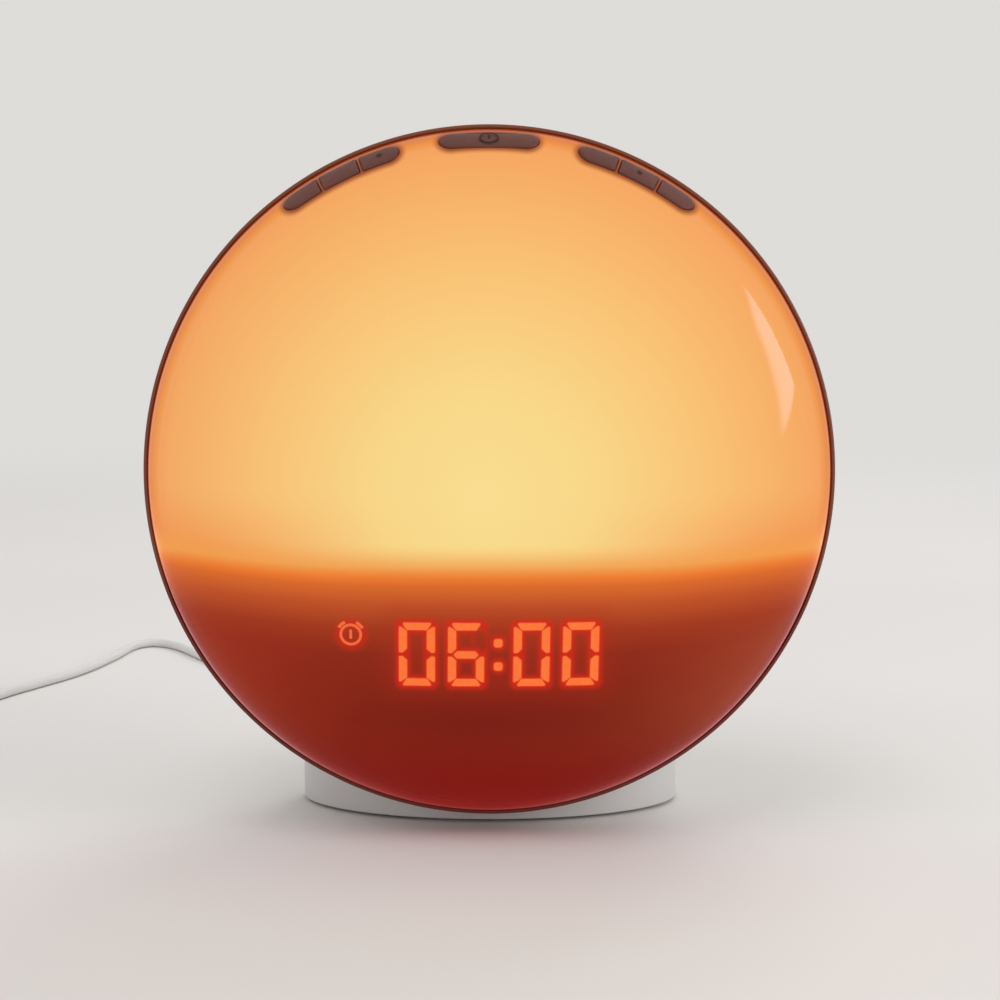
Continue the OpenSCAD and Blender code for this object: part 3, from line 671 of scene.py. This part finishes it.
# The places the cord passes, down to the table and then on it
CORD_FALL = [
    (-18, 90, 55.6), (-19, 97, 53), (-20.5, 103.5, 48), (-22.5, 108.5, 41.5), (-24.5, 112.5, 34.5),
    (-27, 116.5, 27), (-30, 121, 19.5), (-34, 126.5, 12.5), (-39, 133, 7), (-45, 140.5, 3.4),
    (-51, 148, 1.9)]
CORD_LAY = [
    (-57, 155.5), (-63, 163), (-69, 170.5), (-75, 178), (-81, 185.5), (-87, 193), (-92.5, 200.5),
    (-98, 208), (-103, 215.5), (-108, 223), (-112.5, 231), (-117, 239), (-122, 246.5), (-127.5, 251.5),
    (-133, 252.5), (-137, 248.5), (-139, 241.5), (-140, 233), (-141, 224.5), (-142.5, 216),
    (-144, 207.5), (-146, 199), (-148.5, 190.5), (-151.5, 182.5), (-155, 174.5), (-158.5, 166.5),
    (-162, 158.5)]
# The coil's middle, outer radius, turns, pitch, the angle of its start, the turns it climbs in,
# and its points for each turn
COIL_AT = Vector((-194.0, 150.0))
COIL_R = 27.2
COIL_TURNS = 9 + 4 / 9
COIL_PITCH = CORD_D + 0.46
COIL_START = radians(-20)
COIL_CLIMB = 0.5
COIL_STEPS = 48
TAIL_L = 38.0
USB_H = 7.5
USB_W = 15.0
USB_L = 22.0
# The ends of the power plug's grip and of the relief behind it, from the housing's back
PLUG_END = 18.0
RELIEF_END = 38.0
GROOVE_PITCH = 2.2


def coil_angle(turn):
    return COIL_START - 2 * pi * turn


def coil_point(turn):
    """The coil winds inwards on the table, climbs, and winds outwards on top."""
    radius = COIL_R - COIL_PITCH * min(turn, COIL_TURNS - turn)
    climb = (turn - COIL_TURNS / 2) / COIL_CLIMB + 0.5
    height = FLOOR_Z + COIL_PITCH * min(1, max(0, climb))
    angle = coil_angle(turn)
    return Vector((COIL_AT.x + radius * cos(angle), COIL_AT.y + radius * sin(angle), height))


def coil_heading(turn):
    angle = coil_angle(turn)
    return Vector((sin(angle), -cos(angle), 0))


def smooth_line(points, steps):
    """Points along a smooth curve through the given ones."""
    out = []
    for i in range(len(points) - 1):
        a, b = points[max(i - 1, 0)], points[i]
        c, d = points[i + 1], points[min(i + 2, len(points) - 1)]
        for k in range(steps):
            t = k / steps
            out.append(0.5 * (2 * b + (c - a) * t + (2 * a - 5 * b + 4 * c - d) * t * t
                              + (3 * b - a - 3 * c + d) * t ** 3))
    out.append(points[-1])
    return out


def cord_line():
    """The cord's centre line, from its strain relief to the small plug at its end."""
    count = ceil(COIL_TURNS * COIL_STEPS)
    loops = [coil_point(COIL_TURNS * i / count) for i in range(count + 1)]
    heading = coil_heading(COIL_TURNS)
    first = loops[0] - coil_heading(0) * CORD_D
    last = loops[-1] + heading * CORD_D
    route = [CORD_START] + CORD_FALL + [(*place, FLOOR_Z) for place in CORD_LAY]
    run = smooth_line([Vector(p) for p in route] + [first - coil_heading(0) * CORD_D * 2, first], 5)
    for p in run:
        p.z = max(p.z, FLOOR_Z)
    tail = []
    for i in range(1, 11):
        s = i / 10
        p = last + heading * TAIL_L * s
        p.z = last.z + (USB_H / 2 - last.z) * s * s * (3 - 2 * s)
        tail.append(p)
    return run + loops + [last] + tail


def cord():
    line = cord_line()
    curve = bpy.data.curves.new("power_cord", "CURVE")
    curve.dimensions = "3D"
    curve.bevel_depth = CORD_D / 2 * MM
    curve.bevel_resolution = 3
    curve.use_fill_caps = True
    spline = curve.splines.new("POLY")
    spline.points.add(len(line) - 1)
    for point, place in zip(spline.points, line):
        point.co = (*(place * MM), 1)
    curve.materials.append(CORD)
    piece = placed("power_cord", curve)
    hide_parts("cord_run", "cord_coil", "cord_tail")
    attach(piece, "clock")
    return piece, line


def plug_body():
    """The power plug's grip, with grooves round it and a rounded front."""
    start, end, radius = REAR_DEPTH, REAR_DEPTH + PLUG_END, 4.6
    line = [(0, start), (radius - 0.6, start), (radius, start + 0.6)]
    for i in range(5):
        groove = start + 5.5 + GROOVE_PITCH * i
        line += [(radius, groove - 0.6), (radius - 0.45, groove - 0.3), (radius - 0.45, groove + 0.3),
                 (radius, groove + 0.6)]
    line += [(radius, end - 1.2), (radius - 0.4, end - 0.35), (radius - 1.2, end), (0, end)]
    piece = turned("power_plug_grip", [(r, -d) for r, d in line], PLUG, JACK_AT, 64)
    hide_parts("dc_plug")
    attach(piece, "clock")
    return piece


# ---- Repeated forms ----


class Form(Graph):
    """A tree of geometry nodes with named inputs, whose result gets one finish."""

    def __init__(self, name, *labels):
        super().__init__(bpy.data.node_groups.new(name, "GeometryNodeTree"))
        kinds = {"Geometry": "Geometry", "Finish": "Material"}
        for label in ("Geometry", *labels, "Finish"):
            self.tree.interface.new_socket(
                label, in_out="INPUT", socket_type="NodeSocket" + kinds.get(label, "Float"))
        self.tree.interface.new_socket("Geometry", in_out="OUTPUT", socket_type="NodeSocketGeometry")
        self.given = self.tree.nodes.new("NodeGroupInput").outputs

    def __getitem__(self, label):
        return Value(self, self.given[label])

    def make(self, kind, *first, **named):
        return self.node("GeometryNode" + kind, *first, **named)

    def scattered(self, shape, **named):
        """The shape at each of the given places."""
        points = self.make("MeshToPoints", Mesh=self["Geometry"])
        pieces = self.make("InstanceOnPoints", Points=points, Instance=shape, **named)
        return self.make("RealizeInstances", Geometry=pieces)

    def finished(self, geometry):
        done = self.make("SetMaterial", Geometry=geometry, Material=self["Finish"])
        self.node("NodeGroupOutput", done)
        return self.tree


def grown(name, tree, finish, places, **sizes):
    """The plain mesh that a tree makes at the given places, from sizes in millimetres."""
    mesh = bpy.data.meshes.new(name)
    mesh.from_pydata([tuple(Vector(p) * MM) for p in places], [], [])
    piece = placed(name, mesh)
    modifier = piece.modifiers.new("form", "NODES")
    modifier.node_group = tree
    for item in tree.interface.items_tree:
        if item.name in sizes:
            modifier[item.identifier] = sizes[item.name] * MM
        elif item.name == "Finish":
            modifier[item.identifier] = finish
    settle(piece)
    return piece


def ring_tree():
    """Round beads round Y at each place, each a little smaller than the one before."""
    form = Form("relief_rings", "Radius", "Shrink", "Bead")
    line = form.make("CurvePrimitiveCircle", Resolution=48, Radius=1.0)
    size = form["Radius"] - form.math("MULTIPLY", form.make("InputIndex"), form["Shrink"])
    rings = form.scattered(line, Rotation=(pi / 2, 0, 0), Scale=size)
    bead = form.make("CurvePrimitiveCircle", Resolution=10, Radius=form["Bead"])
    return form.finished(form.make("CurveToMesh", Curve=rings, Profile_Curve=bead))


def cord_relief():
    """The tapered relief behind the plug, with a row of round ribs."""
    start, end = REAR_DEPTH + PLUG_END, REAR_DEPTH + RELIEF_END
    first, last = 3.2, CORD_D / 2 + 0.2
    body = turned("relief_body", [(0, -start), (first, -start), (last, -end), (0, -end)], PLUG, JACK_AT, 48)
    places = [(JACK_AT[0], SEAM_Y + start + 1.6 + GROOVE_PITCH * i, JACK_AT[1]) for i in range(8)]
    shrink = (first - last) * GROOVE_PITCH / (end - start)
    ribs = grown("relief_ribs", ring_tree(), PLUG, places, Radius=first - 0.1, Shrink=shrink, Bead=0.42)
    piece = joined("cord_relief_ribbed", [body, ribs])
    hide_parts("cord_relief")
    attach(piece, "clock")
    return piece


def usb_plug():
    """The moulded grip of the small plug: a rounded block with finger ribs and a short neck."""
    heading = coil_heading(COIL_TURNS)
    side = Vector((-heading.y, heading.x, 0))
    start = coil_point(COIL_TURNS) + heading * (CORD_D + TAIL_L)
    start.z = 0
    w, h = USB_W / 2, USB_H / 2
    sizes = [(0, 2.4, 2.4, 1.2), (0.5, 2.9, 2.7, 1.3), (2.4, 3.0, 2.8, 1.3),
             (3.0, w - 1.4, h - 0.9, 1.6), (3.5, w - 0.5, h - 0.3, 1.8), (4.4, w, h, 1.9)]
    for i in range(4):
        rib = 7.5 + 2.4 * i
        sizes += [(rib - 0.5, w, h, 1.9), (rib - 0.2, w - 0.35, h - 0.02, 1.8),
                  (rib + 0.2, w - 0.35, h - 0.02, 1.8), (rib + 0.5, w, h, 1.9)]
    sizes += [(USB_L - 0.6, w, h, 1.9), (USB_L - 0.2, w - 0.2, h - 0.2, 1.8),
              (USB_L, w - 0.6, h - 0.6, 1.6)]
    loops = [[(start + heading * along + side * u + Vector((0, 0, h + v))) * MM
              for u, v in rounded(box_corners(half_w, half_h), [radius] * 4, 5)]
             for along, half_w, half_h, radius in sizes]
    piece = stacked("small_plug_grip", loops, PLUG)
    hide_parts("usb_plug")
    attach(piece, "clock")
    return piece


def coil_strap():
    """The strap that holds the coil's turns together on one side."""
    angle = radians(75)
    out = Vector((cos(angle), sin(angle), 0))
    side = Vector((-out.y, out.x, 0))
    centre = Vector((COIL_AT.x, COIL_AT.y, 0))
    inner = COIL_R - COIL_PITCH * COIL_TURNS / 2 - CORD_D / 2
    low, high = inner - 0.3, COIL_R + CORD_D / 2 + 0.3
    top = FLOOR_Z + COIL_PITCH + CORD_D / 2 + 0.25
    thick, half, floor = 0.45, 2.6, 0.05

    def ring(grow):
        left, right, roof = low - grow, high + grow, top + grow
        corners = [(left, floor), (right, floor), (right, roof), (left, roof)]
        return rounded(corners, [0.7, 0.7, 2.4 + grow, 2.4 + grow], 6)

    points = []
    for offset in (-half, half):
        for u, w in ring(thick) + ring(0):
            points.append((centre + out * u + side * offset + Vector((0, 0, max(w, floor)))) * MM)
    piece = piece_from("coil_strap", points, ring_faces(0, len(points) // 4), STRAP)
    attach(piece, "clock")
    return piece


# ---- Dome and keys ----


def key_outline(half_l, half_w, left, right):
    """A key's outline along the row, with its own corner radius at each end."""
    left, right = min(left, half_w - 1e-3), min(right, half_w - 1e-3)
    return rounded(box_corners(half_l, half_w), [right, right, left, left], 10)


SOFT, TIGHT = KEY_W / 2, 0.35
SIDE_HALF = (KEY_PITCH - KEY_RIB) / 2 - KEY_GAP
# Name, group's angle, place in the group, half length, and the radii of the left and right ends
KEYS = [("top", 0.0, 0.0, KEY_TOP_LEN / 2, SOFT, SOFT)]
for sign, word, order in ((-1, "left", (3, 2, 1)), (1, "right", (1, 2, 3))):
    for step, number in zip((-1, 0, 1), order):
        KEYS.append((f"{word}_{number}", sign * KEY_SIDE_ANGLE, step * KEY_PITCH, SIDE_HALF,
                     SOFT if step < 0 else TIGHT, SOFT if step > 0 else TIGHT))


def key_window(group, place, half_l, left, right):
    """The cutter of a key's window."""
    outline = key_outline(half_l + KEY_GAP, KEY_W / 2 + KEY_GAP, left + KEY_GAP, right + KEY_GAP)
    loops = [[key_point(group, place + u, v, height) for u, v in outline] for height in (-5.0, 3.0)]
    return stacked("window", loops, DOME)


def dome():
    inner_r, inner_depth = DOME_R - DOME_WALL, DOME_DEPTH - DOME_WALL
    outline = [(inner_r, -SKIRT), (DOME_R, -SKIRT)] + oval_line(DOME_R, DOME_DEPTH, 0, pi / 2, 72)
    outline += oval_line(inner_r, inner_depth, pi / 2, 0, 36)
    piece = turned("glowing_dome", outline, DOME)
    cut(piece, [key_window(group, place, half, left, right) for _, group, place, half, left, right in KEYS])
    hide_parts("front_diffuser")
    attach(piece, "clock")
    return piece


def key(name, group, place, half_l, left, right):
    """A key with a rounded edge, whose face follows the dome."""
    levels = [(0.0, -KEY_SKIRT), (0.0, KEY_PROUD - 0.45), (0.06, KEY_PROUD - 0.25), (0.2, KEY_PROUD - 0.08),
              (0.42, KEY_PROUD)]
    loops = []
    for inset, height in levels:
        outline = key_outline(half_l - inset, KEY_W / 2 - inset, max(left - inset, 0.12),
                              max(right - inset, 0.12))
        loops.append([key_point(group, place + u, v, height) for u, v in outline])
    for share in (0.3, 0.6, 0.85, 0.97):
        reach = half_l - SOFT
        inner = [(u + (max(-reach, min(reach, u)) - u) * share, v * (1 - share)) for u, v in outline]
        loops.append([key_point(group, place + u, v, KEY_PROUD) for u, v in inner])
    piece = stacked("key_face_" + name, loops, KEY)
    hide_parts("key_" + name)
    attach(piece, name + "_key")
    return piece


def key_mark(name, body, group, outlines):
    """Thin printed marks on a key, from rings of inner and outer points."""
    points, faces = [], []
    for outer, inner in outlines:
        faces += ring_faces(len(points), len(outer))
        for height in (KEY_PROUD - 0.1, KEY_PROUD + 0.03):
            points += [key_point(group, u, v, height) for u, v in outer + inner]
    piece = piece_from(name, points, faces, KEY_MARK)
    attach(piece, body)
    return piece


def box_line(half_u, half_v, at, count=40):
    """A small upright bar as an outline of a given count of points."""
    line = rounded(box_corners(half_u, half_v), [half_u * 0.9] * 4, count // 4 - 1)
    return [(at[0] + u, at[1] + v) for u, v in line]


def key_marks():
    """A ring with a line on the top key, and small dots on two side keys."""
    # A full mark is a ring whose inner line is this small
    shrink = 0.02
    hand_at = (0, -1.0)
    ring = (oval(2.35, 2.35), oval(2.0, 2.0))
    hand = (box_line(0.2, 1.0, hand_at), box_line(0.2 * shrink, 1.0 * shrink, hand_at))
    dot = (oval(0.75, 0.75), oval(0.75 * shrink, 0.75 * shrink))
    key_mark("key_mark_top", "top_key", 0.0, [ring, hand])
    key_mark("key_mark_left", "left_1_key", -KEY_SIDE_ANGLE + KEY_PITCH / KEY_R, [dot])
    key_mark("key_mark_right", "right_2_key", KEY_SIDE_ANGLE, [dot])


# ---- Digits ----

# The bars that are lit, by the letters of bar_outlines
BARS = {"0": "abcdef", "6": "acdefg"}


def bar_outlines():
    """The seven bars of a digit round its middle, with mitred ends."""
    w, h, t, row, g = DIGIT_W / 2, DIGIT_H / 2, BAR_W, ROW_BAR_W, BAR_GAP * sqrt(2)
    m = row / 2
    top = [(-w + g, h), (w - g, h), (w - row - g * 0.1, h - row), (-w + row + g * 0.1, h - row)]
    right = [(w, h - g), (w, MID_GAP), (w - t * 0.45, MID_GAP), (w - t, MID_GAP + t * 0.5),
             (w - t, h - t - g * 0.1)]
    middle = [(w - m - g * 0.6, 0), (w - t - g * 0.35, m), (-w + t + g * 0.35, m), (-w + m + g * 0.6, 0),
              (-w + t + g * 0.35, -m), (w - t - g * 0.35, -m)]

    def turn(line, sx, sy):
        return [(sx * x, sy * y) for x, y in line]

    return {"a": top, "d": turn(top, 1, -1), "b": right, "c": turn(right, 1, -1),
            "f": turn(right, -1, 1), "e": turn(right, -1, -1), "g": middle}


def prism(name, outlines, low, high, finish):
    """Thin plates over the dome, from outlines in the front view."""
    points, faces = [], []
    for line in outlines:
        faces += shell_faces(len(points), len(line), 2)
        for height in (low, high):
            points += [front_point(x, z, height) for x, z in line]
    return piece_from(name, points, faces, finish)


def swollen(line, by):
    """An outline moved outwards, with round corners."""
    out = []
    count = len(line)
    area = sum(line[i - 1][0] * line[i][1] - line[i][0] * line[i - 1][1] for i in range(count))
    sign = 1 if area > 0 else -1
    for i in range(count):
        here, back, ahead = Vector(line[i]), Vector(line[i - 1]), Vector(line[(i + 1) % count])
        before, after = (Vector((step.y, -step.x)).normalized() * sign
                         for step in (here - back, ahead - here))
        out += [tuple(here + before.lerp(after, k / 3).normalized() * by) for k in range(4)]
    return out


def display():
    """The lit digits and the colon, each with a redder edge where its light spreads."""
    bars, shapes = bar_outlines(), []
    for x, digit in zip(DIGIT_XS, "0600"):
        for letter in BARS[digit]:
            outline = rounded(bars[letter], [0.3] * len(bars[letter]), 3)
            shapes.append([(x + u + DIGIT_LEAN * v, v - DIGIT_DROP) for u, v in outline])
    for rise in (-COLON_RISE, COLON_RISE):
        shapes.append([(COLON_X + u, v + rise - DIGIT_DROP)
                       for u, v in rounded(box_corners(COLON_HALF, COLON_HALF), [0.6] * 4, 5)])
    glow = prism("digit_glow", [swollen(s, 0.24) for s in shapes], -0.1, 0.04, DIGIT_EDGE)
    light = prism("digit_bars", shapes, -0.1, 0.08, DIGIT)
    for piece in (glow, light):
        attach(piece, "clock")


def alarm_icon():
    """A small alarm clock: a ring, a hand and two bells."""
    x, z = ICON_AT
    lines = []

    def arc(inner, outer, start, end, steps, side=1):
        for k in range(steps):
            a, b = (radians(start + (end - start) * (k + n) / steps) for n in (0, 1))
            lines.append([(x + side * r * sin(t), z + r * cos(t))
                          for r, t in ((outer, a), (outer, b), (inner, b), (inner, a))])

    arc(ICON_R - ICON_STROKE, ICON_R, 0, 360, 48)
    for side in (-1, 1):
        arc(ICON_R + 0.2, ICON_R + 0.92, 24, 60, 8, side)
    lines.append([(x + u, z + v) for u, v in box_line(0.33, 1.15, (0, 0.1), 20)])
    piece = prism("alarm_mark", lines, -0.05, 0.08, ICON)
    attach(piece, "clock")


# ---- Rear housing, grille and base ----


def rear_line(grow, steps):
    """The outer line of the rear housing, from its lip to the edge of its flat back."""
    line = oval_line(LIP_R - FLAT_R + grow, REAR_DEPTH - LIP_BACK + grow, 0, pi / 2, steps)
    return [(FLAT_R + r, -LIP_BACK - d) for r, d in line]


def rear_housing():
    lip_r = LIP_R - LIP_W
    lip = rounded([(lip_r, -SKIRT), (lip_r, LIP_FRONT), (LIP_R, LIP_FRONT), (LIP_R, -LIP_BACK)],
                  [0, 0.3, 0.45, 0], 4)
    outline = lip[:-1] + rear_line(0, 72) + [(0, -REAR_DEPTH), (0, REAR_WALL - REAR_DEPTH)]
    outline += rear_line(-REAR_WALL, 36)[::-1] + [(LIP_R - REAR_WALL, -SKIRT)]
    piece = turned("housing_shell", outline, HOUSING)
    grille_at = (0.0, CENTRE_Z + GRILLE_Y)
    cutters = [peg(GRILLE_R + FIT, -REAR_DEPTH + GRILLE_T, -REAR_DEPTH - 2, grille_at, 128),
               peg(GRILLE_R - GRILLE_LEDGE, -REAR_DEPTH + 4, -REAR_DEPTH - 3, grille_at, 96),
               peg(JACK_HOLE_R, -REAR_DEPTH + 4, -REAR_DEPTH - 2, JACK_AT, 64)]
    # The screws' wells: a cup with a hole in its floor
    hole, inner, outer, floor, mouth = 1.5, WELL_R + 0.02, WELL_R + 1.4, -WELL_END + 2.4, -REAR_DEPTH + 7.5
    cup_line = [(hole, -WELL_END), (inner, -WELL_END), (inner, mouth), (outer, mouth), (outer, floor),
                (hole, floor)]
    cups = []
    for sx in (-1, 1):
        for sz in (-1, 1):
            at = (sx * WELL_AT, CENTRE_Z + sz * WELL_AT)
            cutters.append(peg(WELL_R, -WELL_END + 1, -REAR_DEPTH - 4, at))
            cups.append(turned("cup", cup_line, HOUSING, at, 48))
    cut(piece, cutters)
    piece = joined("rear_housing_shell", [piece] + cups)
    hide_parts("rear_housing")
    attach(piece, "clock")


def grille_tree():
    """A round plate with a honeycomb of round holes."""
    form = Form("perforated_plate", "Radius", "Thickness", "Pitch", "Hole", "Reach")
    side, slant = 13, sin(pi / 3)
    pitch, thick = form["Pitch"], form["Thickness"]
    wide = pitch * (side - 1)
    net = form.make("MeshGrid", Size_X=wide, Size_Y=wide * slant, Vertices_X=side, Vertices_Y=side)
    # Every second row moves by half a pitch, and the holes past the reach are left out
    place = form.make("InputPosition")
    row = form.math("DIVIDE", form.node("ShaderNodeSeparateXYZ", place).outputs[1], pitch * slant)
    odd = abs(form.math("MODULO", form.math("ROUND", row), 2))
    shift = form.node("ShaderNodeCombineXYZ", X=pitch * 0.5 * odd)
    moved = form.make("SetPosition", Geometry=net, Offset=shift)
    far = form.node("ShaderNodeVectorMath", place, operation="LENGTH").outputs["Value"]
    outside = form.math("GREATER_THAN", far, form["Reach"])
    kept = form.make("DeleteGeometry", Geometry=moved, Selection=outside)
    hole = form.make("MeshCylinder", Vertices=32, Radius=form["Hole"], Depth=thick * 2)
    holes = form.make("InstanceOnPoints", Points=kept, Instance=hole)
    plate = form.make("MeshCylinder", Vertices=128, Radius=form["Radius"], Depth=thick)
    drills = form.make("RealizeInstances", Geometry=holes)
    punched = form.make("MeshBoolean", plate, drills, operation="DIFFERENCE")
    middle = Vector((0, SEAM_Y + REAR_DEPTH - GRILLE_T / 2, CENTRE_Z + GRILLE_Y)) * MM
    return form.finished(form.make(
        "Transform", Geometry=punched, Rotation=(pi / 2, 0, 0), Translation=middle))


def grille():
    piece = grown("perforated_grille", grille_tree(), GRILLE, [(0, 0, 0)], Radius=GRILLE_R,
                  Thickness=GRILLE_T, Pitch=GRILLE_PITCH, Hole=GRILLE_HOLE_R, Reach=GRILLE_R - 4.7)
    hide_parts("speaker_grille")
    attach(piece, "clock")


def base_loop(inset, height):
    """A loop of the base's oval, whose front half is deeper than its rear half."""
    loop = []
    for u, v in oval(1, 1, 160):
        depth = (BASE_REAR if v > 0 else BASE_FRONT) - inset
        loop.append(Vector(((BASE_W / 2 - inset) * u, BASE_Y + depth * v, height)) * MM)
    return loop


def base():
    levels = [(4.4, BASE_Z), (0.5, BASE_Z), (0.12, BASE_Z + 0.15), (0.0, BASE_Z + 0.5),
              (0.0, BASE_H - 1.2), (0.12, BASE_H - 0.6), (0.42, BASE_H - 0.2), (1.1, BASE_H)]
    piece = stacked("base", [base_loop(*level) for level in levels], BASE)
    front = LIP_FRONT + 1
    saddle = [(0, front), (LIP_R + FIT, front)] + rear_line(FIT, 72) + [(0, -REAR_DEPTH - FIT)]
    # The oval pocket of the base plate
    low, high = frame_box("base_plate")
    outline = oval((high.x - low.x) / 2 + FIT, (high.y - low.y) / 2 + FIT, 120)
    pocket = [[Vector((x, (low.y + high.y) / 2 + y, height)) * MM for x, y in outline]
              for height in (-1.0, BASE_Z + 1.8)]
    cut(piece, [turned("saddle", saddle, BASE), stacked("pocket", pocket, BASE)])
    piece.name = "base_body"
    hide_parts("base_stand")
    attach(piece, "clock")


def foot_tree():
    """A rubber pad with a rounded lower edge at each place."""
    form = Form("rubber_pads", "Radius", "Height")
    half = form["Height"] * 0.5
    disc, back = (form.make("MeshCircle", fill_type="NGON", Vertices=48, Radius=form["Radius"])
                  for _ in range(2))
    wall = form.make("ExtrudeMesh", Mesh=disc, Offset=(0, 0, -1), Offset_Scale=half)
    sole = form.make("ExtrudeMesh", Mesh=wall, Selection=wall.outputs["Top"],
                     Offset=(0, 0, -1), Offset_Scale=half)
    small = form.make("ScaleElements", Geometry=sole, Selection=sole.outputs["Top"], Scale=0.86)
    both = form.make("JoinGeometry", back)
    form.feed(both.inputs[0], small)
    return form.finished(form.scattered(form.make("MergeByDistance", Geometry=both, Distance=1e-6)))


def feet():
    height = frame_box("rubber_feet")[1].z
    places = [(side * x, BASE_Y + y, height)
              for side in (-1, 1) for x, y in ((22, 8 - BASE_FRONT), (28, 10))]
    piece = grown("rubber_pads", foot_tree(), RUBBER, places, Radius=4.0, Height=height)
    edited(piece.data, lambda bm: bmesh.ops.recalc_face_normals(bm, faces=bm.faces))
    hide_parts("rubber_feet")
    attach(piece, "clock")


# ---- Pieces that keep the frame's own shape ----


def dress_frame():
    """Gives each piece of the frame that shows its own finish, by the start of its name."""
    green = moulded("board_green", "2b5f38", "234f2e", 0.3, 0.45, 0.2)
    white = moulded("inner_white", "e4e2dc", "dad7d0", 0.45, 0.6, 0.3)
    grey = moulded("inner_grey", "bdbdb8", "b2b2ad", 0.5, 0.65, 0.3)
    cream = moulded("cell_holder", "c2bca9", "b6b09d", 0.45, 0.6, 0.3)
    film = moulded("display_film", "5a1a12", "4c150e", 0.15, 0.25, 0.1)
    paper = moulded("cone_paper", "2a2a2d", "222225", 0.8, 0.95, 0.9, 0.2)
    iron = metal("magnet_iron", "6c6e72", 0.5, 0.7)
    painted = moulded("speaker_paint", "3a3a3d", "303033", 0.4, 0.55, 0.3)
    led = lit("led_light", "ffe2b0", "ffd898", 0.7)
    # The holder comes after the cell, whose name starts its own
    finishes = [
        (white, "light_baffle", "lamp_reflector", "lamp_board"), (grey, "mid_frame"), (led, "lamp_leds"),
        (green, "display_board", "main_board", "key_board"), (film, "display_film"),
        (BLACK, "display_block", "board_parts", "dc_jack", "switch_cases", "plunger"),
        (DIGIT, "display_segments"), (ICON, "alarm_light"), (PLATE, "base_plate"), (CHROME, "usb_shell"),
        (STEEL, "coin_cell", "housing_screws", "stand_screws", "base_screws"), (cream, "coin_cell_holder"),
        (painted, "speaker_frame"), (paper, "speaker_cone"), (iron, "speaker_magnet")]
    for finish, *starts in finishes:
        for node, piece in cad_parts.items():
            if node.startswith(tuple(starts)):
                piece.data.materials.clear()
                piece.data.materials.append(finish)


# ---- Light, floor and background ----


# The backdrop as the eye meets it, and as it lights the clock
SEEN = (0.735, 0.72, 0.70, 1)
LIT = (0.58, 0.58, 0.59, 1)
FLOOR_HALF = 4.0


def looked_at(graph):
    """1 where the eye, gloss or glass looks at a surface, and 0 where it lights others."""
    path = graph.node("ShaderNodeLightPath").outputs
    eye = graph.math("MAXIMUM", path["Is Camera Ray"], path["Is Glossy Ray"])
    return graph.math("MAXIMUM", eye, path["Is Transmission Ray"])


def surroundings():
    world = bpy.data.worlds.new("studio")
    world.use_nodes = True
    sky = Graph(world.node_tree)
    sky.fill(sky.tree.nodes["Background"], sky.mix(looked_at(sky), LIT, SEEN))
    bpy.context.scene.world = world
    r = Recipe("floor_pale", roughness=0.9, gloss=0.0)
    r.paint(r.patches(3.0, "e6e3df", "e3e0dc", detail=2.0))
    # Far from the clock the floor melts into the backdrop
    x, y, _ = r.clock_mm()
    far = r.ease(r.length(x, y), 380.0, 1500.0) * looked_at(r)
    haze = r.node("ShaderNodeEmission", SEEN)
    r.fill(r.tree.nodes["Material Output"], r.node("ShaderNodeMixShader", far, r.shader, haze))
    corners = [(u * FLOOR_HALF, v * FLOOR_HALF, 0) for u, v in ((-1, -1), (1, -1), (1, 1), (-1, 1))]
    floor = piece_from("floor", corners, [[0, 1, 2, 3]], r.material)


def lamp(name, place, aim, width, height, power, colour=(1, 1, 1), mirrored=False):
    """A soft area lamp that faces a point: it lights matt surfaces, or shows in gloss alone."""
    light = bpy.data.lights.new(name, "AREA")
    light.shape = "RECTANGLE"
    light.size, light.size_y = width, height
    light.energy = power
    light.color = colour
    holder = placed(name, light)
    holder.location = place
    holder.rotation_euler = (Vector(aim) - Vector(place)).to_track_quat("-Z", "Y").to_euler()
    holder.visible_diffuse = not mirrored
    holder.visible_glossy = mirrored
    return light


def window_shine(aim):
    """A tall window to the right: gloss alone shows it, as a leaf of light that fades to the left."""
    wide, tall = 0.8, 1.0
    light = lamp("window_shine", (1.38, -0.395, 0.57), aim, wide, tall, 44.0, (0.42, 0.66, 0.84),
                 mirrored=True)
    light.use_nodes = True
    graph = Graph(light.node_tree)
    place = graph.node("ShaderNodeNewGeometry").outputs["Parametric"]
    across, up, _ = graph.node("ShaderNodeSeparateXYZ", place).outputs
    share = None
    # The corners from the top, clockwise, in metres from the lamp's middle, and each edge's softness
    corners = [(0.21, 0.47), (0.33, -0.15), (-0.22, -0.46), (-0.12, 0.19)]
    for i, soft in enumerate((0.02, 0.03, 0.16, 0.10)):
        (ax, ay), (bx, by) = corners[i], corners[(i + 1) % 4]
        reach = hypot(bx - ax, by - ay)
        nx, ny = (by - ay) / reach, (ax - bx) / reach
        start = -nx * (ax + wide / 2) - ny * (ay + tall / 2)
        along = graph.math("MULTIPLY_ADD", across, nx * wide, start)
        inside = graph.ease(graph.math("MULTIPLY_ADD", up, ny * tall, along), 0, soft)
        share = inside if share is None else share * inside
    graph.fill(graph.tree.nodes["Emission"], Strength=share)


def lights():
    middle = (0, 0, CENTRE_Z * MM)
    window_shine(middle)
    lamp("soft_side", (1.3, -0.6, 0.7), middle, 0.8, 0.8, 6.0)
    lamp("soft_top", (-0.5, -0.8, 1.6), middle, 1.2, 1.2, 9.0)
    lamp("soft_back", (0.6, 1.3, 1.2), middle, 1.0, 1.0, 7.0)


# ---- The whole ----

camera()
flex, centre_line = cord()
grip = plug_body()
relief = cord_relief()
small_plug = usb_plug()
strap = coil_strap()
cord_length = sum((b - a).length for a, b in zip(centre_line, centre_line[1:])) * MM
print("cord length", round(cord_length, 4))
dome()
for spec in KEYS:
    key(*spec)
key_marks()
display()
alarm_icon()
rear_housing()
grille()
base()
feet()
dress_frame()
surroundings()
lights()

bpy.context.scene.view_settings.view_transform = "Standard"
